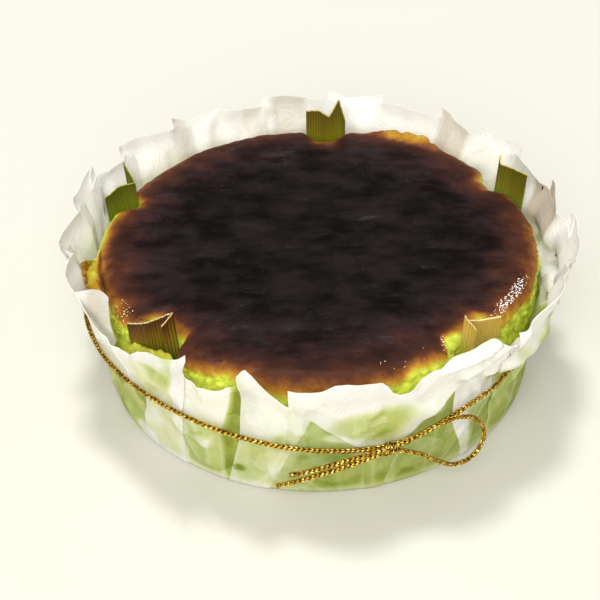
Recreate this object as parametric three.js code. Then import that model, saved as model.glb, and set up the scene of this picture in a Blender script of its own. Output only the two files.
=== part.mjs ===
// A burnt green cheesecake in its pleated baking paper, with folded pandan leaf
// ends standing round the rim and a gold cord tied in a one-loop bow.
// Millimetres, +Z up, standing on Z = 0 with the bow towards -Y. A bearing is an
// angle round the cake in degrees: 0 faces -Y and 90 faces +X.
import * as THREE from "three";

// Cake: radii and heights of its section, and how its top swells
const CAKE_BOTTOM = 1.1;
const CAKE_FOOT_RADIUS = 77.2;
const CAKE_FOOT_ROUND = 1.5;
const CAKE_BELLY_RADIUS = 79;
const CAKE_BELLY_HEIGHT = 18;
const CAKE_RADIUS = 80.3;
const CAKE_EDGE_HEIGHT = 45;
const CAKE_SHOULDER = 6.5;
const CAKE_SHOULDER_ANGLES = [0, 30, 60, 90];
const CAKE_TOP_SHARES = [0.82, 0.6, 0.36, 0.16, 0];
const CAKE_CROWN = 0.8;
const CAKE_SWELL = { depth: 0.5, waves: 5, twist: 1 / 9 };
const CAKE_SEGMENTS = 120;

// The plan is a little out of round: waves round it, their depth and their phase
const OUT_OF_ROUND = [
  { waves: 2, depth: 0.7, phase: 0.6 },
  { waves: 3, depth: 0.5, phase: -1.1 },
];

// Baking paper: one sheet, pushed into a cup whose wall flares above the cake
const PAPER_THICKNESS = 0.6;
const PAPER_FOOT_RADIUS = 78.7;
const PAPER_FOOT_BEND = 2.5;
const PAPER_WAIST_RADIUS = 83.4;
const PAPER_WAIST_SHARE = 0.75;
const PAPER_RIM_RADIUS = 87.6;
const PAPER_RIM_LEAN = 1.2;
const PAPER_WALL_SHARES = [0.045, 0.24, 0.48, 0.7, 0.85, 1];
const PAPER_STEP = 2.5;

// Fold lines of the paper in front: bearing, how far the rim stands out there beyond
// its plain radius, and the height of the rim
const FRONT_FOLDS = [
  [-72.5, 4, 56], [-67.5, 4, 58], [-60, -5.4, 58.5], [-57.5, 1.2, 48.5], [-45, 0, 49],
  [-40, 2, 56], [-35, 2, 57], [-30, 3.4, 61.5], [-27.5, 1.4, 51], [-20, 0.2, 50],
  [-17.5, 3, 60.5], [-12.5, 1.6, 57], [-7.5, 0, 48], [-5, 1.2, 53], [5, 3, 57.5],
  [15, 2, 55], [20, 0.4, 50], [30, 3, 60], [40, 2.2, 56], [45, 0.8, 51.5],
  [47.5, 3.4, 58], [60, 4, 61.5], [65, 1.6, 58],
];

// Pleats behind follow a rule: an even spread of crests, each with a valley beside it,
// and the range over which place, depth and height differ from pleat to pleat
const BACK_PLEATS = { first: 75, last: 277.5, count: 15, shift: 4 };
const BACK_CREST = { offset: 3.8, offsetRange: 2, rim: 59.5, rimRange: 3 };
const BACK_VALLEY = { offset: 0.6, offsetRange: 0, rim: 57, rimRange: 2 };
const FOLD_RISE = 1.4;
const FOLD_RISE_INWARDS = 5;

// The wall leans out further at the right
const SIDE_FLARE = { bearing: 70, reach: 30, out: 3.6 };

// Leaves: bearing, depth of the groove each presses into the cake, folded section seen
// from outside as [along, inwards], the height of its cut end at each of those points,
// and its colour
const LEAF_THICKNESS = 0.6;
const LEAF_INSET = 2.4;
const LEAF_FOOT_HEIGHT = 28;
const LEAF_LEAN = 0.08;
const LEAF_PANEL_STEPS = 3;
const LEAF_ROWS = 3;
const LEAF_LONGEST_MITRE = 2.2;
const LEAVES = [
  {
    bearing: -45,
    groove: 7.4,
    fold: [[-9.1, -5.6], [-1.3, -3.8], [7.8, 1.6], [5.5, -2.5]],
    top: [54, 57.5, 64, 59],
    color: 0x6b4f1c,
  },
  {
    bearing: 41.5,
    groove: 4.6,
    fold: [[8.8, -1.2], [1, 0.9], [-4.5, 1.7], [-7.6, 1.2], [-4.4, -2]],
    top: [56, 57.5, 60, 64, 58],
    color: 0x8f7d2a,
  },
  {
    bearing: 112,
    groove: 5.4,
    fold: [[-8.6, -1.4], [-0.5, 0.8], [5, 1.2], [7.6, -1.8]],
    top: [59.5, 60, 59.5, 61],
    color: 0x6f7424,
  },
  {
    bearing: 176,
    groove: 5.4,
    fold: [[7.8, 0.8], [2.6, -1.4], [-1.6, 1.8], [-5.4, -0.8], [-8, 0.9]],
    top: [59.5, 59.5, 58, 60, 63.5],
    color: 0x5f5a1e,
  },
  {
    bearing: -110,
    groove: 6.2,
    fold: [[9, -2.2], [3.6, -0.2], [-5.4, 1.7], [-7.2, -1.6]],
    top: [56.5, 59.5, 60.5, 64.5],
    color: 0x44551c,
  },
];
const GROOVE_FLAT = 6.2;
const GROOVE_END = 10.5;

// Where the batter ran out into a fold of the paper, and the crust that climbed it behind
const BULGE = { bearing: -73, reach: 8, out: 5, from: 20, full: 47 };
const CRUST_LIP = { bearing: 151, reach: 15, up: 1.8, out: 0.8 };

// Gold cord: its thickness, its level round the wall, the sag at the bow and how far that
// spreads to each side, and how far along the wall it bridges from crest to crest
const CORD_DIAMETER = 1.8;
const CORD_SIDES = 8;
const CORD_LEVEL = 33.6;
const CORD_TILT = 1;
const CORD_SAG = 8.25;
const CORD_SAG_SPREAD = { left: 39, right: 17 };
const CORD_REACH = 12;
const CORD_CLEARANCE = 0.4;
const RING_POINTS = 72;
const RING_STEP = 7;
const STRAND_STEP = 3;

// Bow: the knot's place and size, and how far it and the strands stand off the wall cord
const KNOT_BEARING = 14.5;
const KNOT_SIZE = { along: 3.6, out: 2.3, up: 2.7 };
const KNOT_TURNS = { count: 3, depth: 0.1, twist: 2 };
const KNOT_HALF_GAP = 2.65;
const KNOT_STANDOFF = 1.4;
const STRAND_STANDOFF = 1.6;

// Bow strands as [bearing, height, extra stand-off], from the knot outwards
const BOW_LOOP = [
  [17.2, 27.2, 0.4], [22, 29.6, 0.6], [26.5, 31.2, 0.6], [30.5, 31, 0.7], [34.4, 28, 0.8],
  [37.4, 22.6, 1], [38.6, 17, 1], [37.6, 11.8, 1], [34.4, 8.8, 0.8], [30, 9.8, 0.6],
  [25.4, 15, 0.4], [21.4, 20.4, 0.2], [17.2, 24, 0.2],
];
const TAIL_LONG = [
  [11.8, 24, 0], [5.4, 21, 0.2], [0, 18.2, 0.4], [-5, 15.2, 0.5], [-9.8, 11.9, 0.5],
];
const TAIL_SHORT = [
  [11.8, 26.6, 1.2], [5.4, 24.4, 1.1], [0.6, 22, 1.1], [-3, 20, 1.1], [-6.8, 18, 1.1],
];

// Finishes; each leaf has its own colour
const CRUST = { color: 0x2a1712, roughness: 0.35, metalness: 0 };
const PAPER = { color: 0xe9ecd8, roughness: 0.6, metalness: 0 };
const LEAF = { roughness: 0.55, metalness: 0 };
const GOLD = { color: 0xb98a2c, roughness: 0.3, metalness: 1 };

const radians = THREE.MathUtils.degToRad;
const mix = THREE.MathUtils.lerp;
const ease = THREE.MathUtils.smoothstep;
const wrap = THREE.MathUtils.euclideanModulo;

// Signed difference between two bearings, from -180 to 180
function turn(from, to) {
  return wrap(to - from + 180, 360) - 180;
}

// A steady spread of values from -0.5 to 0.5, one for each whole number
function spread(index) {
  const goldenRatio = 0.618034;
  return ((index * goldenRatio) % 1) - 0.5;
}

// A point at a bearing, radius and height
function around(bearing, radius, height) {
  const angle = radians(bearing);
  return new THREE.Vector3(radius * Math.sin(angle), -radius * Math.cos(angle), height);
}

// How far the plan of cake and paper is out of round at a bearing
function outOfRound(bearing) {
  let out = 0;
  for (const { waves, depth, phase } of OUT_OF_ROUND) {
    out += depth * Math.cos(waves * radians(bearing) + phase);
  }
  return out;
}

// Depth of the leaf grooves at a bearing
function groove(bearing) {
  let depth = 0;
  for (const leaf of LEAVES) {
    const away = Math.abs(turn(leaf.bearing, bearing));
    depth = Math.max(depth, leaf.groove * (1 - ease(away, GROOVE_FLAT, GROOVE_END)));
  }
  return depth;
}

// A smooth hump over the bearings within reach of a place: 1 in its middle, 0 beyond
function hump({ bearing, reach }, here) {
  return 1 - ease(Math.abs(turn(bearing, here)), 0.3 * reach, reach);
}

// A lathe turned about Z whose points are then moved: place(bearing, first, second, level)
// takes the two numbers of a profile point and returns its moved radius and height
function turned(profile, segments, place) {
  const points = profile.map(([first, second]) => new THREE.Vector2(first, second));
  const geometry = new THREE.LatheGeometry(points, segments);
  const position = geometry.getAttribute("position");
  for (let i = 0; i < position.count; i++) {
    const level = i % profile.length;
    const bearing = (Math.floor(i / profile.length) * 360) / segments;
    const [radius, height] = place(bearing, ...profile[level], level);
    position.setXYZ(i, ...around(bearing, radius, height));
  }
  return geometry;
}

// The cake's section from the middle of its bottom to the middle of its top
function cakeProfile() {
  const inner = CAKE_RADIUS - CAKE_SHOULDER;
  const topHeight = CAKE_EDGE_HEIGHT + CAKE_SHOULDER;
  const profile = [
    [0, CAKE_BOTTOM],
    [CAKE_FOOT_RADIUS - CAKE_FOOT_ROUND, CAKE_BOTTOM],
    [CAKE_FOOT_RADIUS, CAKE_BOTTOM + CAKE_FOOT_ROUND],
    [CAKE_BELLY_RADIUS, CAKE_BELLY_HEIGHT],
  ];
  for (const angle of CAKE_SHOULDER_ANGLES.map(radians)) {
    const across = CAKE_SHOULDER * Math.cos(angle);
    profile.push([inner + across, CAKE_EDGE_HEIGHT + CAKE_SHOULDER * Math.sin(angle)]);
  }
  for (const share of CAKE_TOP_SHARES) {
    const crown = CAKE_CROWN * (Math.sin(Math.PI * share) - 0.5);
    profile.push([share * inner, topHeight + crown]);
  }
  return profile;
}

// The cake, dented by the leaves and bulged where it met the paper, its top faintly uneven
function cakeGeometry() {
  const rimStart = CAKE_RADIUS - CAKE_SHOULDER - 1;
  const rimEnd = CAKE_RADIUS - 0.4 * CAKE_SHOULDER;
  return turned(cakeProfile(), CAKE_SEGMENTS, (bearing, radius, height) => {
    const out = ease(radius, 0.3 * CAKE_RADIUS, CAKE_RADIUS);
    const edge = ease(radius, rimStart, rimEnd);
    const top = ease(height, CAKE_EDGE_HEIGHT, CAKE_EDGE_HEIGHT + CAKE_SHOULDER);
    const dent = groove(bearing) * out ** 4;
    const bulge = hump(BULGE, bearing) * edge * ease(height, BULGE.from, BULGE.full);
    const lip = hump(CRUST_LIP, bearing) * edge * top;
    const wave = Math.sin(CAKE_SWELL.waves * radians(bearing) + CAKE_SWELL.twist * radius);
    return [
      radius + out * outOfRound(bearing) - dent + BULGE.out * bulge + CRUST_LIP.out * lip,
      height + CAKE_SWELL.depth * wave * top * out + CRUST_LIP.up * lip,
    ];
  });
}

// One fold line behind: its place, how far it stands out and the height of the rim
function backFold(at, kind, index) {
  return {
    at: turn(0, at),
    offset: kind.offset + kind.offsetRange * spread(index + 5),
    rim: kind.rim + kind.rimRange * spread(index + 9),
  };
}

// Every fold line of the wall in order of bearing; every third pleat behind leans back
function paperFolds() {
  const folds = FRONT_FOLDS.map(([at, offset, rim]) => ({ at, offset, rim }));
  const { first, last, count, shift } = BACK_PLEATS;
  for (let i = 0; i < count; i++) {
    const even = mix(first, last, i / (count - 1)) + shift * spread(i);
    const crest = Math.round(even / PAPER_STEP) * PAPER_STEP;
    const valley = crest + (i % 3 === 0 ? -PAPER_STEP : PAPER_STEP);
    folds.push(backFold(crest, BACK_CREST, i), backFold(valley, BACK_VALLEY, i));
  }
  return folds.sort((a, b) => a.at - b.at);
}

const FOLDS = paperFolds();

// Offset of the wall at the rim and height of the rim, between the nearest fold lines
function paperFold(bearing) {
  const here = turn(0, bearing);
  const next = Math.max(0, FOLDS.findIndex((fold) => fold.at >= here));
  const after = FOLDS[next];
  const before = FOLDS.at(next - 1);
  const share = wrap(here - before.at, 360) / wrap(after.at - before.at, 360);
  return {
    offset: mix(before.offset, after.offset, share),
    rim: mix(before.rim, after.rim, share),
  };
}

// Inner radius of the pleated wall at a bearing and a share of its height: an even lean
// up to the cake's edge, a flare above it, and the folds, of which the ones that reach
// inwards do so mostly above the cake
function wallRadius(bearing, share) {
  const { offset } = paperFold(bearing);
  const lean = mix(PAPER_FOOT_RADIUS, PAPER_WAIST_RADIUS, Math.min(1, share / PAPER_WAIST_SHARE));
  const flare = ease(share, PAPER_WAIST_SHARE, 1) * (PAPER_RIM_RADIUS - PAPER_WAIST_RADIUS);
  const tip = PAPER_RIM_LEAN * Math.cos(radians(bearing)) * share ** 4;
  const aside = SIDE_FLARE.out * hump(SIDE_FLARE, bearing) * share ** FOLD_RISE;
  const fold = offset * share ** (offset > 0 ? FOLD_RISE : FOLD_RISE_INWARDS);
  return lean + flare - tip + aside + fold + outOfRound(bearing) * ease(share, 0, 0.25);
}

// Outer radius of the pleated wall at a bearing and height
function paperOuterRadius(bearing, height) {
  return wallRadius(bearing, height / paperFold(bearing).rim) + PAPER_THICKNESS;
}

// The paper cup: out along the bottom, up the outside, over the rim, down the inside and
// in along the bottom. A wall point of the profile is its depth in the paper and a share
// of the wall's height
function paperGeometry() {
  const outside = PAPER_WALL_SHARES.map((share) => [PAPER_THICKNESS, share]);
  const inside = PAPER_WALL_SHARES.map((share) => [0, share]).reverse();
  const wall = [...outside, ...inside];
  const foot = PAPER_FOOT_RADIUS - PAPER_FOOT_BEND;
  const under = [[0, 0], [foot, 0]];
  const floor = [[foot, PAPER_THICKNESS], [0, PAPER_THICKNESS]];
  const profile = [...under, ...wall, ...floor];
  return turned(profile, 360 / PAPER_STEP, (bearing, first, second, level) => {
    if (level < under.length || level >= under.length + wall.length) {
      return [first, second];
    }
    return [wallRadius(bearing, second) + first, second * paperFold(bearing).rim];
  });
}

// Direction across a folded strip at a share of one panel, mitred where two panels meet
function acrossFold(panels, index, share) {
  const normal = (panel) => {
    const along = panel.getTangent(0);
    return new THREE.Vector2(-along.y, along.x);
  };
  const beside = share < 0.01 ? index - 1 : index + 1;
  const joined = (share < 0.01 || share > 0.99) && panels[beside];
  const here = normal(panels[index]);
  const between = here.clone().add(joined ? normal(joined) : here).normalize();
  return between.multiplyScalar(Math.min(LEAF_LONGEST_MITRE, 1 / between.dot(here)));
}

// One leaf end: a thin box bent along its folded section, cut to its heights, and leaning
// out above the cake's edge
function leafGeometry({ fold, top }) {
  const corners = fold.map(([along, inwards]) => new THREE.Vector2(along, inwards));
  const panels = corners.slice(1).map((corner, i) => new THREE.LineCurve(corners[i], corner));
  const columns = panels.length * LEAF_PANEL_STEPS;
  const geometry = new THREE.BoxGeometry(1, 1, 1, columns, 1, LEAF_ROWS);
  const position = geometry.getAttribute("position");
  for (let i = 0; i < position.count; i++) {
    const column = Math.round((position.getX(i) + 0.5) * columns);
    const index = Math.min(panels.length - 1, Math.floor(column / LEAF_PANEL_STEPS));
    const share = column / LEAF_PANEL_STEPS - index;
    const middle = panels[index].getPoint(share);
    const side = acrossFold(panels, index, share).multiplyScalar(LEAF_THICKNESS * position.getY(i));
    const height = mix(LEAF_FOOT_HEIGHT, mix(top[index], top[index + 1], share), position.getZ(i) + 0.5);
    const lean = LEAF_LEAN * Math.max(0, height - CAKE_EDGE_HEIGHT);
    position.setXYZ(i, middle.x + side.x, middle.y + side.y - lean, height);
  }
  return geometry;
}

// Level of the wall cord: nearly even, a little tilted, sagging to the bow
function cordHeight(bearing) {
  const aside = turn(KNOT_BEARING, bearing);
  const away = aside / (aside < 0 ? CORD_SAG_SPREAD.left : CORD_SAG_SPREAD.right);
  return CORD_LEVEL + CORD_TILT * Math.sin(radians(bearing)) - CORD_SAG * Math.exp(-away * away);
}

// The furthest that the wall stands out under the cord within reach of a bearing
function crestRadius(bearing) {
  let crest = 0;
  for (let aside = -CORD_REACH; aside <= CORD_REACH; aside += PAPER_STEP) {
    const near = bearing + aside;
    crest = Math.max(crest, paperOuterRadius(near, cordHeight(near) + CORD_DIAMETER / 2));
  }
  return crest;
}

// Radius of the wall cord: pulled taut over the crests, so their heights are evened out
function cordRadius(bearing) {
  const crests = [];
  for (let aside = -CORD_REACH; aside <= CORD_REACH; aside += PAPER_STEP) {
    crests.push(crestRadius(bearing + aside));
  }
  const taut = crests.reduce((sum, crest) => sum + crest) / crests.length;
  return taut + CORD_DIAMETER / 2 + CORD_CLEARANCE;
}

// A length of cord through the points, with a step about every so many millimetres
function cordGeometry(points, step) {
  const section = new THREE.Shape();
  for (let i = 0; i < CORD_SIDES; i++) {
    const corner = around((i * 360) / CORD_SIDES, CORD_DIAMETER / 2, 0);
    if (i === 0) section.moveTo(corner.x, corner.y);
    else section.lineTo(corner.x, corner.y);
  }
  const extrudePath = new THREE.CatmullRomCurve3(points, false, "centripetal");
  const steps = Math.ceil(extrudePath.getLength() / step);
  return new THREE.ExtrudeGeometry(section, { steps, extrudePath });
}

// The cord round the wall, from one side of the knot to the other
function ringGeometry() {
  const points = [];
  for (let i = 0; i <= RING_POINTS; i++) {
    const bearing = KNOT_BEARING + mix(KNOT_HALF_GAP, 360 - KNOT_HALF_GAP, i / RING_POINTS);
    points.push(around(bearing, cordRadius(bearing), cordHeight(bearing)));
  }
  return cordGeometry(points, RING_STEP);
}

// A strand of the bow, standing just off the wall cord
function strandGeometry(route) {
  const base = cordRadius(KNOT_BEARING) + STRAND_STANDOFF;
  const points = route.map(([bearing, height, out]) => around(bearing, base + out, height));
  return cordGeometry(points, STRAND_STEP);
}

// The knot: an egg-shaped lump with the twist of its turns pressed into it
function knotGeometry() {
  const { along, out, up } = KNOT_SIZE;
  const { count, depth, twist } = KNOT_TURNS;
  const geometry = new THREE.SphereGeometry(1, 14, 9);
  const position = geometry.getAttribute("position");
  for (let i = 0; i < position.count; i++) {
    const [x, y, z] = [position.getX(i), position.getY(i), position.getZ(i)];
    const ridge = Math.cos(count * Math.atan2(x, z) + twist * y);
    const size = 1 + depth * Math.sqrt(1 - y * y) * ridge;
    position.setXYZ(i, y * along * size, z * out * size, x * up * size);
  }
  return geometry;
}

// A named sub-part with a material of its own
function named(name, geometry, finish) {
  const mesh = new THREE.Mesh(geometry, new THREE.MeshStandardMaterial(finish));
  mesh.name = name;
  return mesh;
}

// A group turned to a bearing, whose -Y then points outwards there
function turnedTo(bearing, mesh) {
  const place = new THREE.Group();
  place.rotation.z = radians(bearing);
  place.add(mesh);
  return place;
}

const cheesecake = new THREE.Group();
cheesecake.add(named("cake", cakeGeometry(), CRUST));
cheesecake.add(named("paper_case", paperGeometry(), PAPER));

LEAVES.forEach((leaf, index) => {
  const finish = { ...LEAF, color: leaf.color };
  const mesh = named(`leaf_${index + 1}`, leafGeometry(leaf), finish);
  mesh.position.y = -(CAKE_RADIUS - leaf.groove + LEAF_INSET + outOfRound(leaf.bearing));
  cheesecake.add(turnedTo(leaf.bearing, mesh));
});

const knot = named("bow_knot", knotGeometry(), GOLD);
knot.position.y = -(cordRadius(KNOT_BEARING) + KNOT_STANDOFF);
knot.position.z = cordHeight(KNOT_BEARING);
cheesecake.add(turnedTo(KNOT_BEARING, knot));
cheesecake.add(named("cord_ring", ringGeometry(), GOLD));
cheesecake.add(named("bow_loop", strandGeometry(BOW_LOOP), GOLD));
cheesecake.add(named("bow_tail_long", strandGeometry(TAIL_LONG), GOLD));
cheesecake.add(named("bow_tail_short", strandGeometry(TAIL_SHORT), GOLD));

export default cheesecake;
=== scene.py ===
"""A burnt green cheesecake in its pleated baking paper, tied round with gold cord.

Sizes below are in millimetres, as in the solids, and finished meshes are in metres.
A bearing is an angle round the cake in degrees: 0 faces -Y and 90 faces +X.
"""
import math

import bmesh
import bpy
import numpy as np
from mathutils import Matrix, Vector, noise


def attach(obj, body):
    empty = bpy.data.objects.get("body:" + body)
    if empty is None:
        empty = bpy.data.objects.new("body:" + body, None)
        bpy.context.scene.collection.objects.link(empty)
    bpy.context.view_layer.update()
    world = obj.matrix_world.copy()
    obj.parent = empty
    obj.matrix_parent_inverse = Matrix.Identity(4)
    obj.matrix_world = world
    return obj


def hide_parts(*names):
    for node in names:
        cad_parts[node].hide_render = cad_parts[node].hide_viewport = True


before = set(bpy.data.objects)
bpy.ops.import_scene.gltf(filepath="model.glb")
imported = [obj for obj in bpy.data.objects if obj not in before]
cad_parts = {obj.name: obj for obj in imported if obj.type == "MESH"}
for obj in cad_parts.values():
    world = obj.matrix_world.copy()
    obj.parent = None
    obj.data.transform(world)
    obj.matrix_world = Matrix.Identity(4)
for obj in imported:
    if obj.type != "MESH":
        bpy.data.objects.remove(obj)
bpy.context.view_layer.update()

MM = 0.001
SHARP_FOLD = math.radians(50)

# View of the photograph
VIEW_AIM = (-6.49, -2.66, 25)
VIEW_ELEVATION = 37.5
VIEW_DISTANCE = 500
VIEW_ROLL = -1.23
VIEW_LENS = 80.16
VIEW_SENSOR = 36

# Studio in metres: each light's name, place, size and power, the spot they face, the room's glow
# towards the front and the back with the share of the way back between them, and the floor
LIGHTS = [("front", (-0.7, -5.2, 4.2), 5.5, 460), ("behind", (-0.17, 0.64, 2.75), 0.5, 44)]
LIT_SPOT = (0, 0, 0.03)
ROOM_GLOW = {"way": (0.2, 0.7), "glow": (0.52, 0.12)}
FLOOR_SIZE = 40

# Cake section
CAKE_BOTTOM = 1.1
CAKE_FOOT_RADIUS = 77.2
CAKE_FOOT_ROUND = 1.5
CAKE_FOOT_TOP = 8
CAKE_BELLY_RADIUS = 79
CAKE_BELLY_HEIGHT = 18
CAKE_RADIUS = 80.3
CAKE_EDGE_HEIGHT = 45
CAKE_SHOULDER = 6.5
CAKE_DISH = 0.8
CAKE_SWELL = {"depth": 0.5, "waves": 5, "twist": 1 / 9}
CAKE_COLUMNS = 720
CUSTARD = "baked green custard, burnt skin"
# Waves that make the cake a little out of round: how many, depth and phase
OUT_OF_ROUND = [(2, 0.7, 0.6), (3, 0.5, -1.1)]
# Ways from the side's upper edge over which the skin comes in, torn flesh comes in and goes out,
# and pale edges, pale dents and the golden crust go out
WAYS = {"skin": (-2, 8), "torn": (-11, -7), "torn_end": (1, 4), "edge": (3, 16), "dent": (9, 20),
        "golden": (8.5, 12.5)}
# Way that counts as fully baked, and the ways that are told apart
BAKED_WAY = 40
BAKED_RANGE = (-4, 60)
# Uneven baking, everywhere and near the edge: way, size and seed
BAKED_UNEVEN = (1.3, 12, 2)
EDGE_UNEVEN = (0.9, 4, 6)
SHOULDER = {"way": 6, "spread": 5}
# Relief of the skin: height, size of its bumps, seed, and scale of X, below 1 for long bumps
SKIN_RELIEF = [(0.45, 17, 0, 1), (0.42, 6.5, 3, 0.65), (0.12, 3.2, 8, 1)]
# Relief of the side, the shoulder and the risen crust: height, size of the bumps and seed
SIDE_RELIEF = (0.45, 5, 7)
SHOULDER_RELIEF = (0.3, 3.5, 5)
LIP_RELIEF = (1.6, 2.6, 11)
# Torn flesh: size of its plates, how unevenly they lie, and depth of the cracks between them
TORN = {"plate": 4.6, "level": 0.35, "crack": 0.7, "crack_width": (0.04, 0.3), "level_scale": 0.8}
TORN_RELIEF = 1.4
# Sugar crystals: bearing, reach, way in from the side's edge between which they lie, and how
# thickly, as a share of the most for each square millimetre, which also paints them white as glints
CRYSTALS = [
    (60, 13, 7, 8.6, 1), (-59.5, 4.5, 3, 8, 0.3), (34, 3, 7, 10, 0.4), (21, 12, 7, 11, 0.03),
]
CRYSTALS_MOST = 3.4
CRYSTAL_RADIUS = 0.27
CRYSTAL_BLUR = 1.5
# Lump of cake before the first leaf, with its inner radius and its top along it
LEDGE = {"from": -53.5, "to": -36.5, "bottom": 37, "clear": 1.2, "baked": 0.024,
         "inner": [(0, 81.4), (0.45, 79.7), (0.7, 78.7), (1, 78.7)],
         "top": [(0, 44), (0.38, 47.6), (0.7, 50), (1, 50.6)]}
# Burnt crumbs on the paper's inside: bearing, radius, height, half sizes
CRUMBS = [(104.4, 89, 56.8, (0.35, 0.6, 1.3)), (88.6, 85, 41.4, (0.6, 0.9, 0.7))]
CRUMB_BAKED = 0.7
# Shelf at the left where batter ran into a fold of the paper: how far it is baked along the way
# from the side's upper edge, and its radius and height there, from the wall below it over a thin
# fin and the shelf to a crack
SHELF = {"bearing": -78.5, "reach": 13}
SHELF_BAKED = [
    (-9, 0), (-5, 2.4), (-1.2, 3.6), (0, 3), (0.8, 2.2), (3.4, 2.4), (4.2, 6.5), (6.2, 6.5),
]
SHELF_SECTION = [
    (-21, 79.3, 24), (-10, 81.6, 35), (-5, 83.6, 41), (-2.5, 84.4, 46.4), (-1.2, 84.9, 50.4),
    (-0.3, 84.3, 50), (0.5, 84, 47.4), (1.7, 82.4, 47.6), (2.9, 80.6, 48), (3.7, 79.6, 47.2),
    (4.4, 79, 46.4), (5.2, 78.5, 49.4), (6.2, 77.6, 50.3),
]
# Stretches where the skin's edge is paler, or browner below 0: bearing, reach, and how many
# millimetres the colours shift
PALE_EDGES = [(30, 14, 4), (-96, 19, 4.6), (-26, 9, 1.4), (-3, 17, -1.6), (88, 24, -0.8)]
# How much less the skin is baked for each millimetre of a pale dent
PALE_DENT = 1.1
# Stretch at the right where the cake stands out further
RIGHT_SWELL = {"bearing": 85, "reach": 32, "out": 1.5}
# Stretch at the back where the crust has risen
CRUST_LIP = {"bearing": 151, "reach": 15, "up": 3, "out": 1, "baked": 2.9}

# Baking paper
PAPER_THICKNESS = 0.26
PAPER_SOLID_THICKNESS = 0.6
PAPER_FOOT_RADIUS = 78.7
PAPER_FOOT_BEND = 2.5
PAPER_WAIST_RADIUS = 83.4
PAPER_WAIST_SHARE = 0.75
PAPER_RIM_RADIUS = 87.6
PAPER_RIM_LEAN = 1.2
PAPER_STEP = 2.5
PAPER_ROWS = 54
FOLD_RISE = 1.4
# Fold lines of the solid paper in front, without its one inward fold: bearing, way out and rim
# height
FRONT_FOLDS = [
    (-72.5, 4, 56), (-67.5, 4, 58), (-57.5, 1.2, 48.5), (-45, 0, 49),
    (-40, 2, 56), (-35, 2, 57), (-30, 3.4, 61.5), (-27.5, 1.4, 51), (-20, 0.2, 50),
    (-17.5, 3, 60.5), (-12.5, 1.6, 57), (-7.5, 0, 48), (-5, 1.2, 53), (5, 3, 57.5),
    (15, 2, 55), (20, 0.4, 50), (30, 3, 60), (40, 2.2, 56), (45, 0.8, 51.5),
    (47.5, 3.4, 58), (60, 4, 61.5), (65, 1.6, 58),
]
SIDE_FLARE = {"bearing": 70, "reach": 30, "out": 3.6}
# Roll of paper at the right that covers the cord
SIDE_ROLL = {"from": 40, "full": 49, "until": 95, "end": 118, "out": 3.4, "above": 5, "tall": 3.6,
             "in": 1.6}
BACK_PLEATS = {"first": 75, "last": 277.5, "count": 15, "shift": 4}
BACK_CREST = {"offset": 3.8, "offset_range": 2, "rim": 59.5, "rim_range": 3}
BACK_VALLEY = {"offset": 0.6, "offset_range": 0, "rim": 57, "rim_range": 2}

# Leaves
LEAF_THICKNESS = 0.5
LEAF_INSET = 2.4
LEAF_FOOT_HEIGHT = 28
LEAF_LEAN = 0.08
LEAF_STEP = 0.22
LEAF_SMOOTHING = 3
# Length below the cut over which the blade's colours change
LEAF_SHADED = 20
LEAF_ROWS = [*np.linspace(0, 0.95, 24), 0.975, 0.988, 1]
RAGGED_CUT = {"depth": 0.35, "size": 1.7}
RIB_SPACING = 1.1
RIB_DEPTH = 0.09
# Bearing, depth of the cake's groove, folded section as (along, inwards), cut heights
LEAVES = [
    (-45, 7.4, [(-9.1, -5.6), (-1.3, -3.8), (7.8, 1.6), (5.5, -2.5)], [54, 57.5, 64, 59]),
    (41.5, 4.6, [(8.8, -1.2), (1, 0.9), (-4.5, 1.7), (-7.6, 1.2), (-4.4, -2)],
     [56, 57.5, 60, 64, 58]),
    (112, 5.4, [(-7.4, -4.2), (1, -3.4), (5.6, -0.4), (8.4, -1.8)], [61, 59.4, 59.6, 61.5]),
    (176, 5.4, [(7.8, 0.8), (2.6, -1.4), (-1.6, 1.8), (-5.4, -0.8), (-8, 0.9)],
     [59.5, 58.6, 57.6, 64, 56]),
    (-110, 6.2, [(5.4, -5), (-1.6, -1.9), (-6.5, 2.2), (-7.8, -2.1)], [55.6, 57.2, 56.6, 64]),
]
# Dents that the leaves press into the cake: bearing, depth, half width at the floor and at the
# top, and how far the skin stays pale there
GROOVES = [
    (-45.6, 7.4, 6, 9.2, 0.55), (41.5, 4.6, 6.2, 10.5, 1), (118, 4.4, 2.5, 7, 0.5),
    (176, 8.5, 2, 8, 0.25), (-111.5, 6.4, 2, 5.5, 0.3),
]

# Gold cord. A stitch has two legs, in shares of the cord's thickness and the stitch's length:
# their size, way out from the middle, angle apart and tilt
CORD_DIAMETER = 1.8
CORD_STITCH = 1.7
STITCH = {"wales": 3, "leg": (0.32, 0.36, 1.2), "out": 0.34, "apart": 27, "tilt": 13}
CORE_SHARE = 0.33
CORD_LEVEL = 33.6
CORD_TILT = 1
CORD_SAG = 8.25
CORD_SAG_SPREAD = {"left": 39, "right": 17}
CORD_REACH = 12
CORD_CLEARANCE = 0.4
RING_POINTS = 144
KNOT_BEARING = 14.5
KNOT_STANDOFF = 1.4
KNOT_COIL = {"along": 1.2, "out": 1.3, "up": 1.6, "start": -0.4, "end": 2.35, "points": 60}
STRAND_STANDOFF = 1.6
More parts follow.
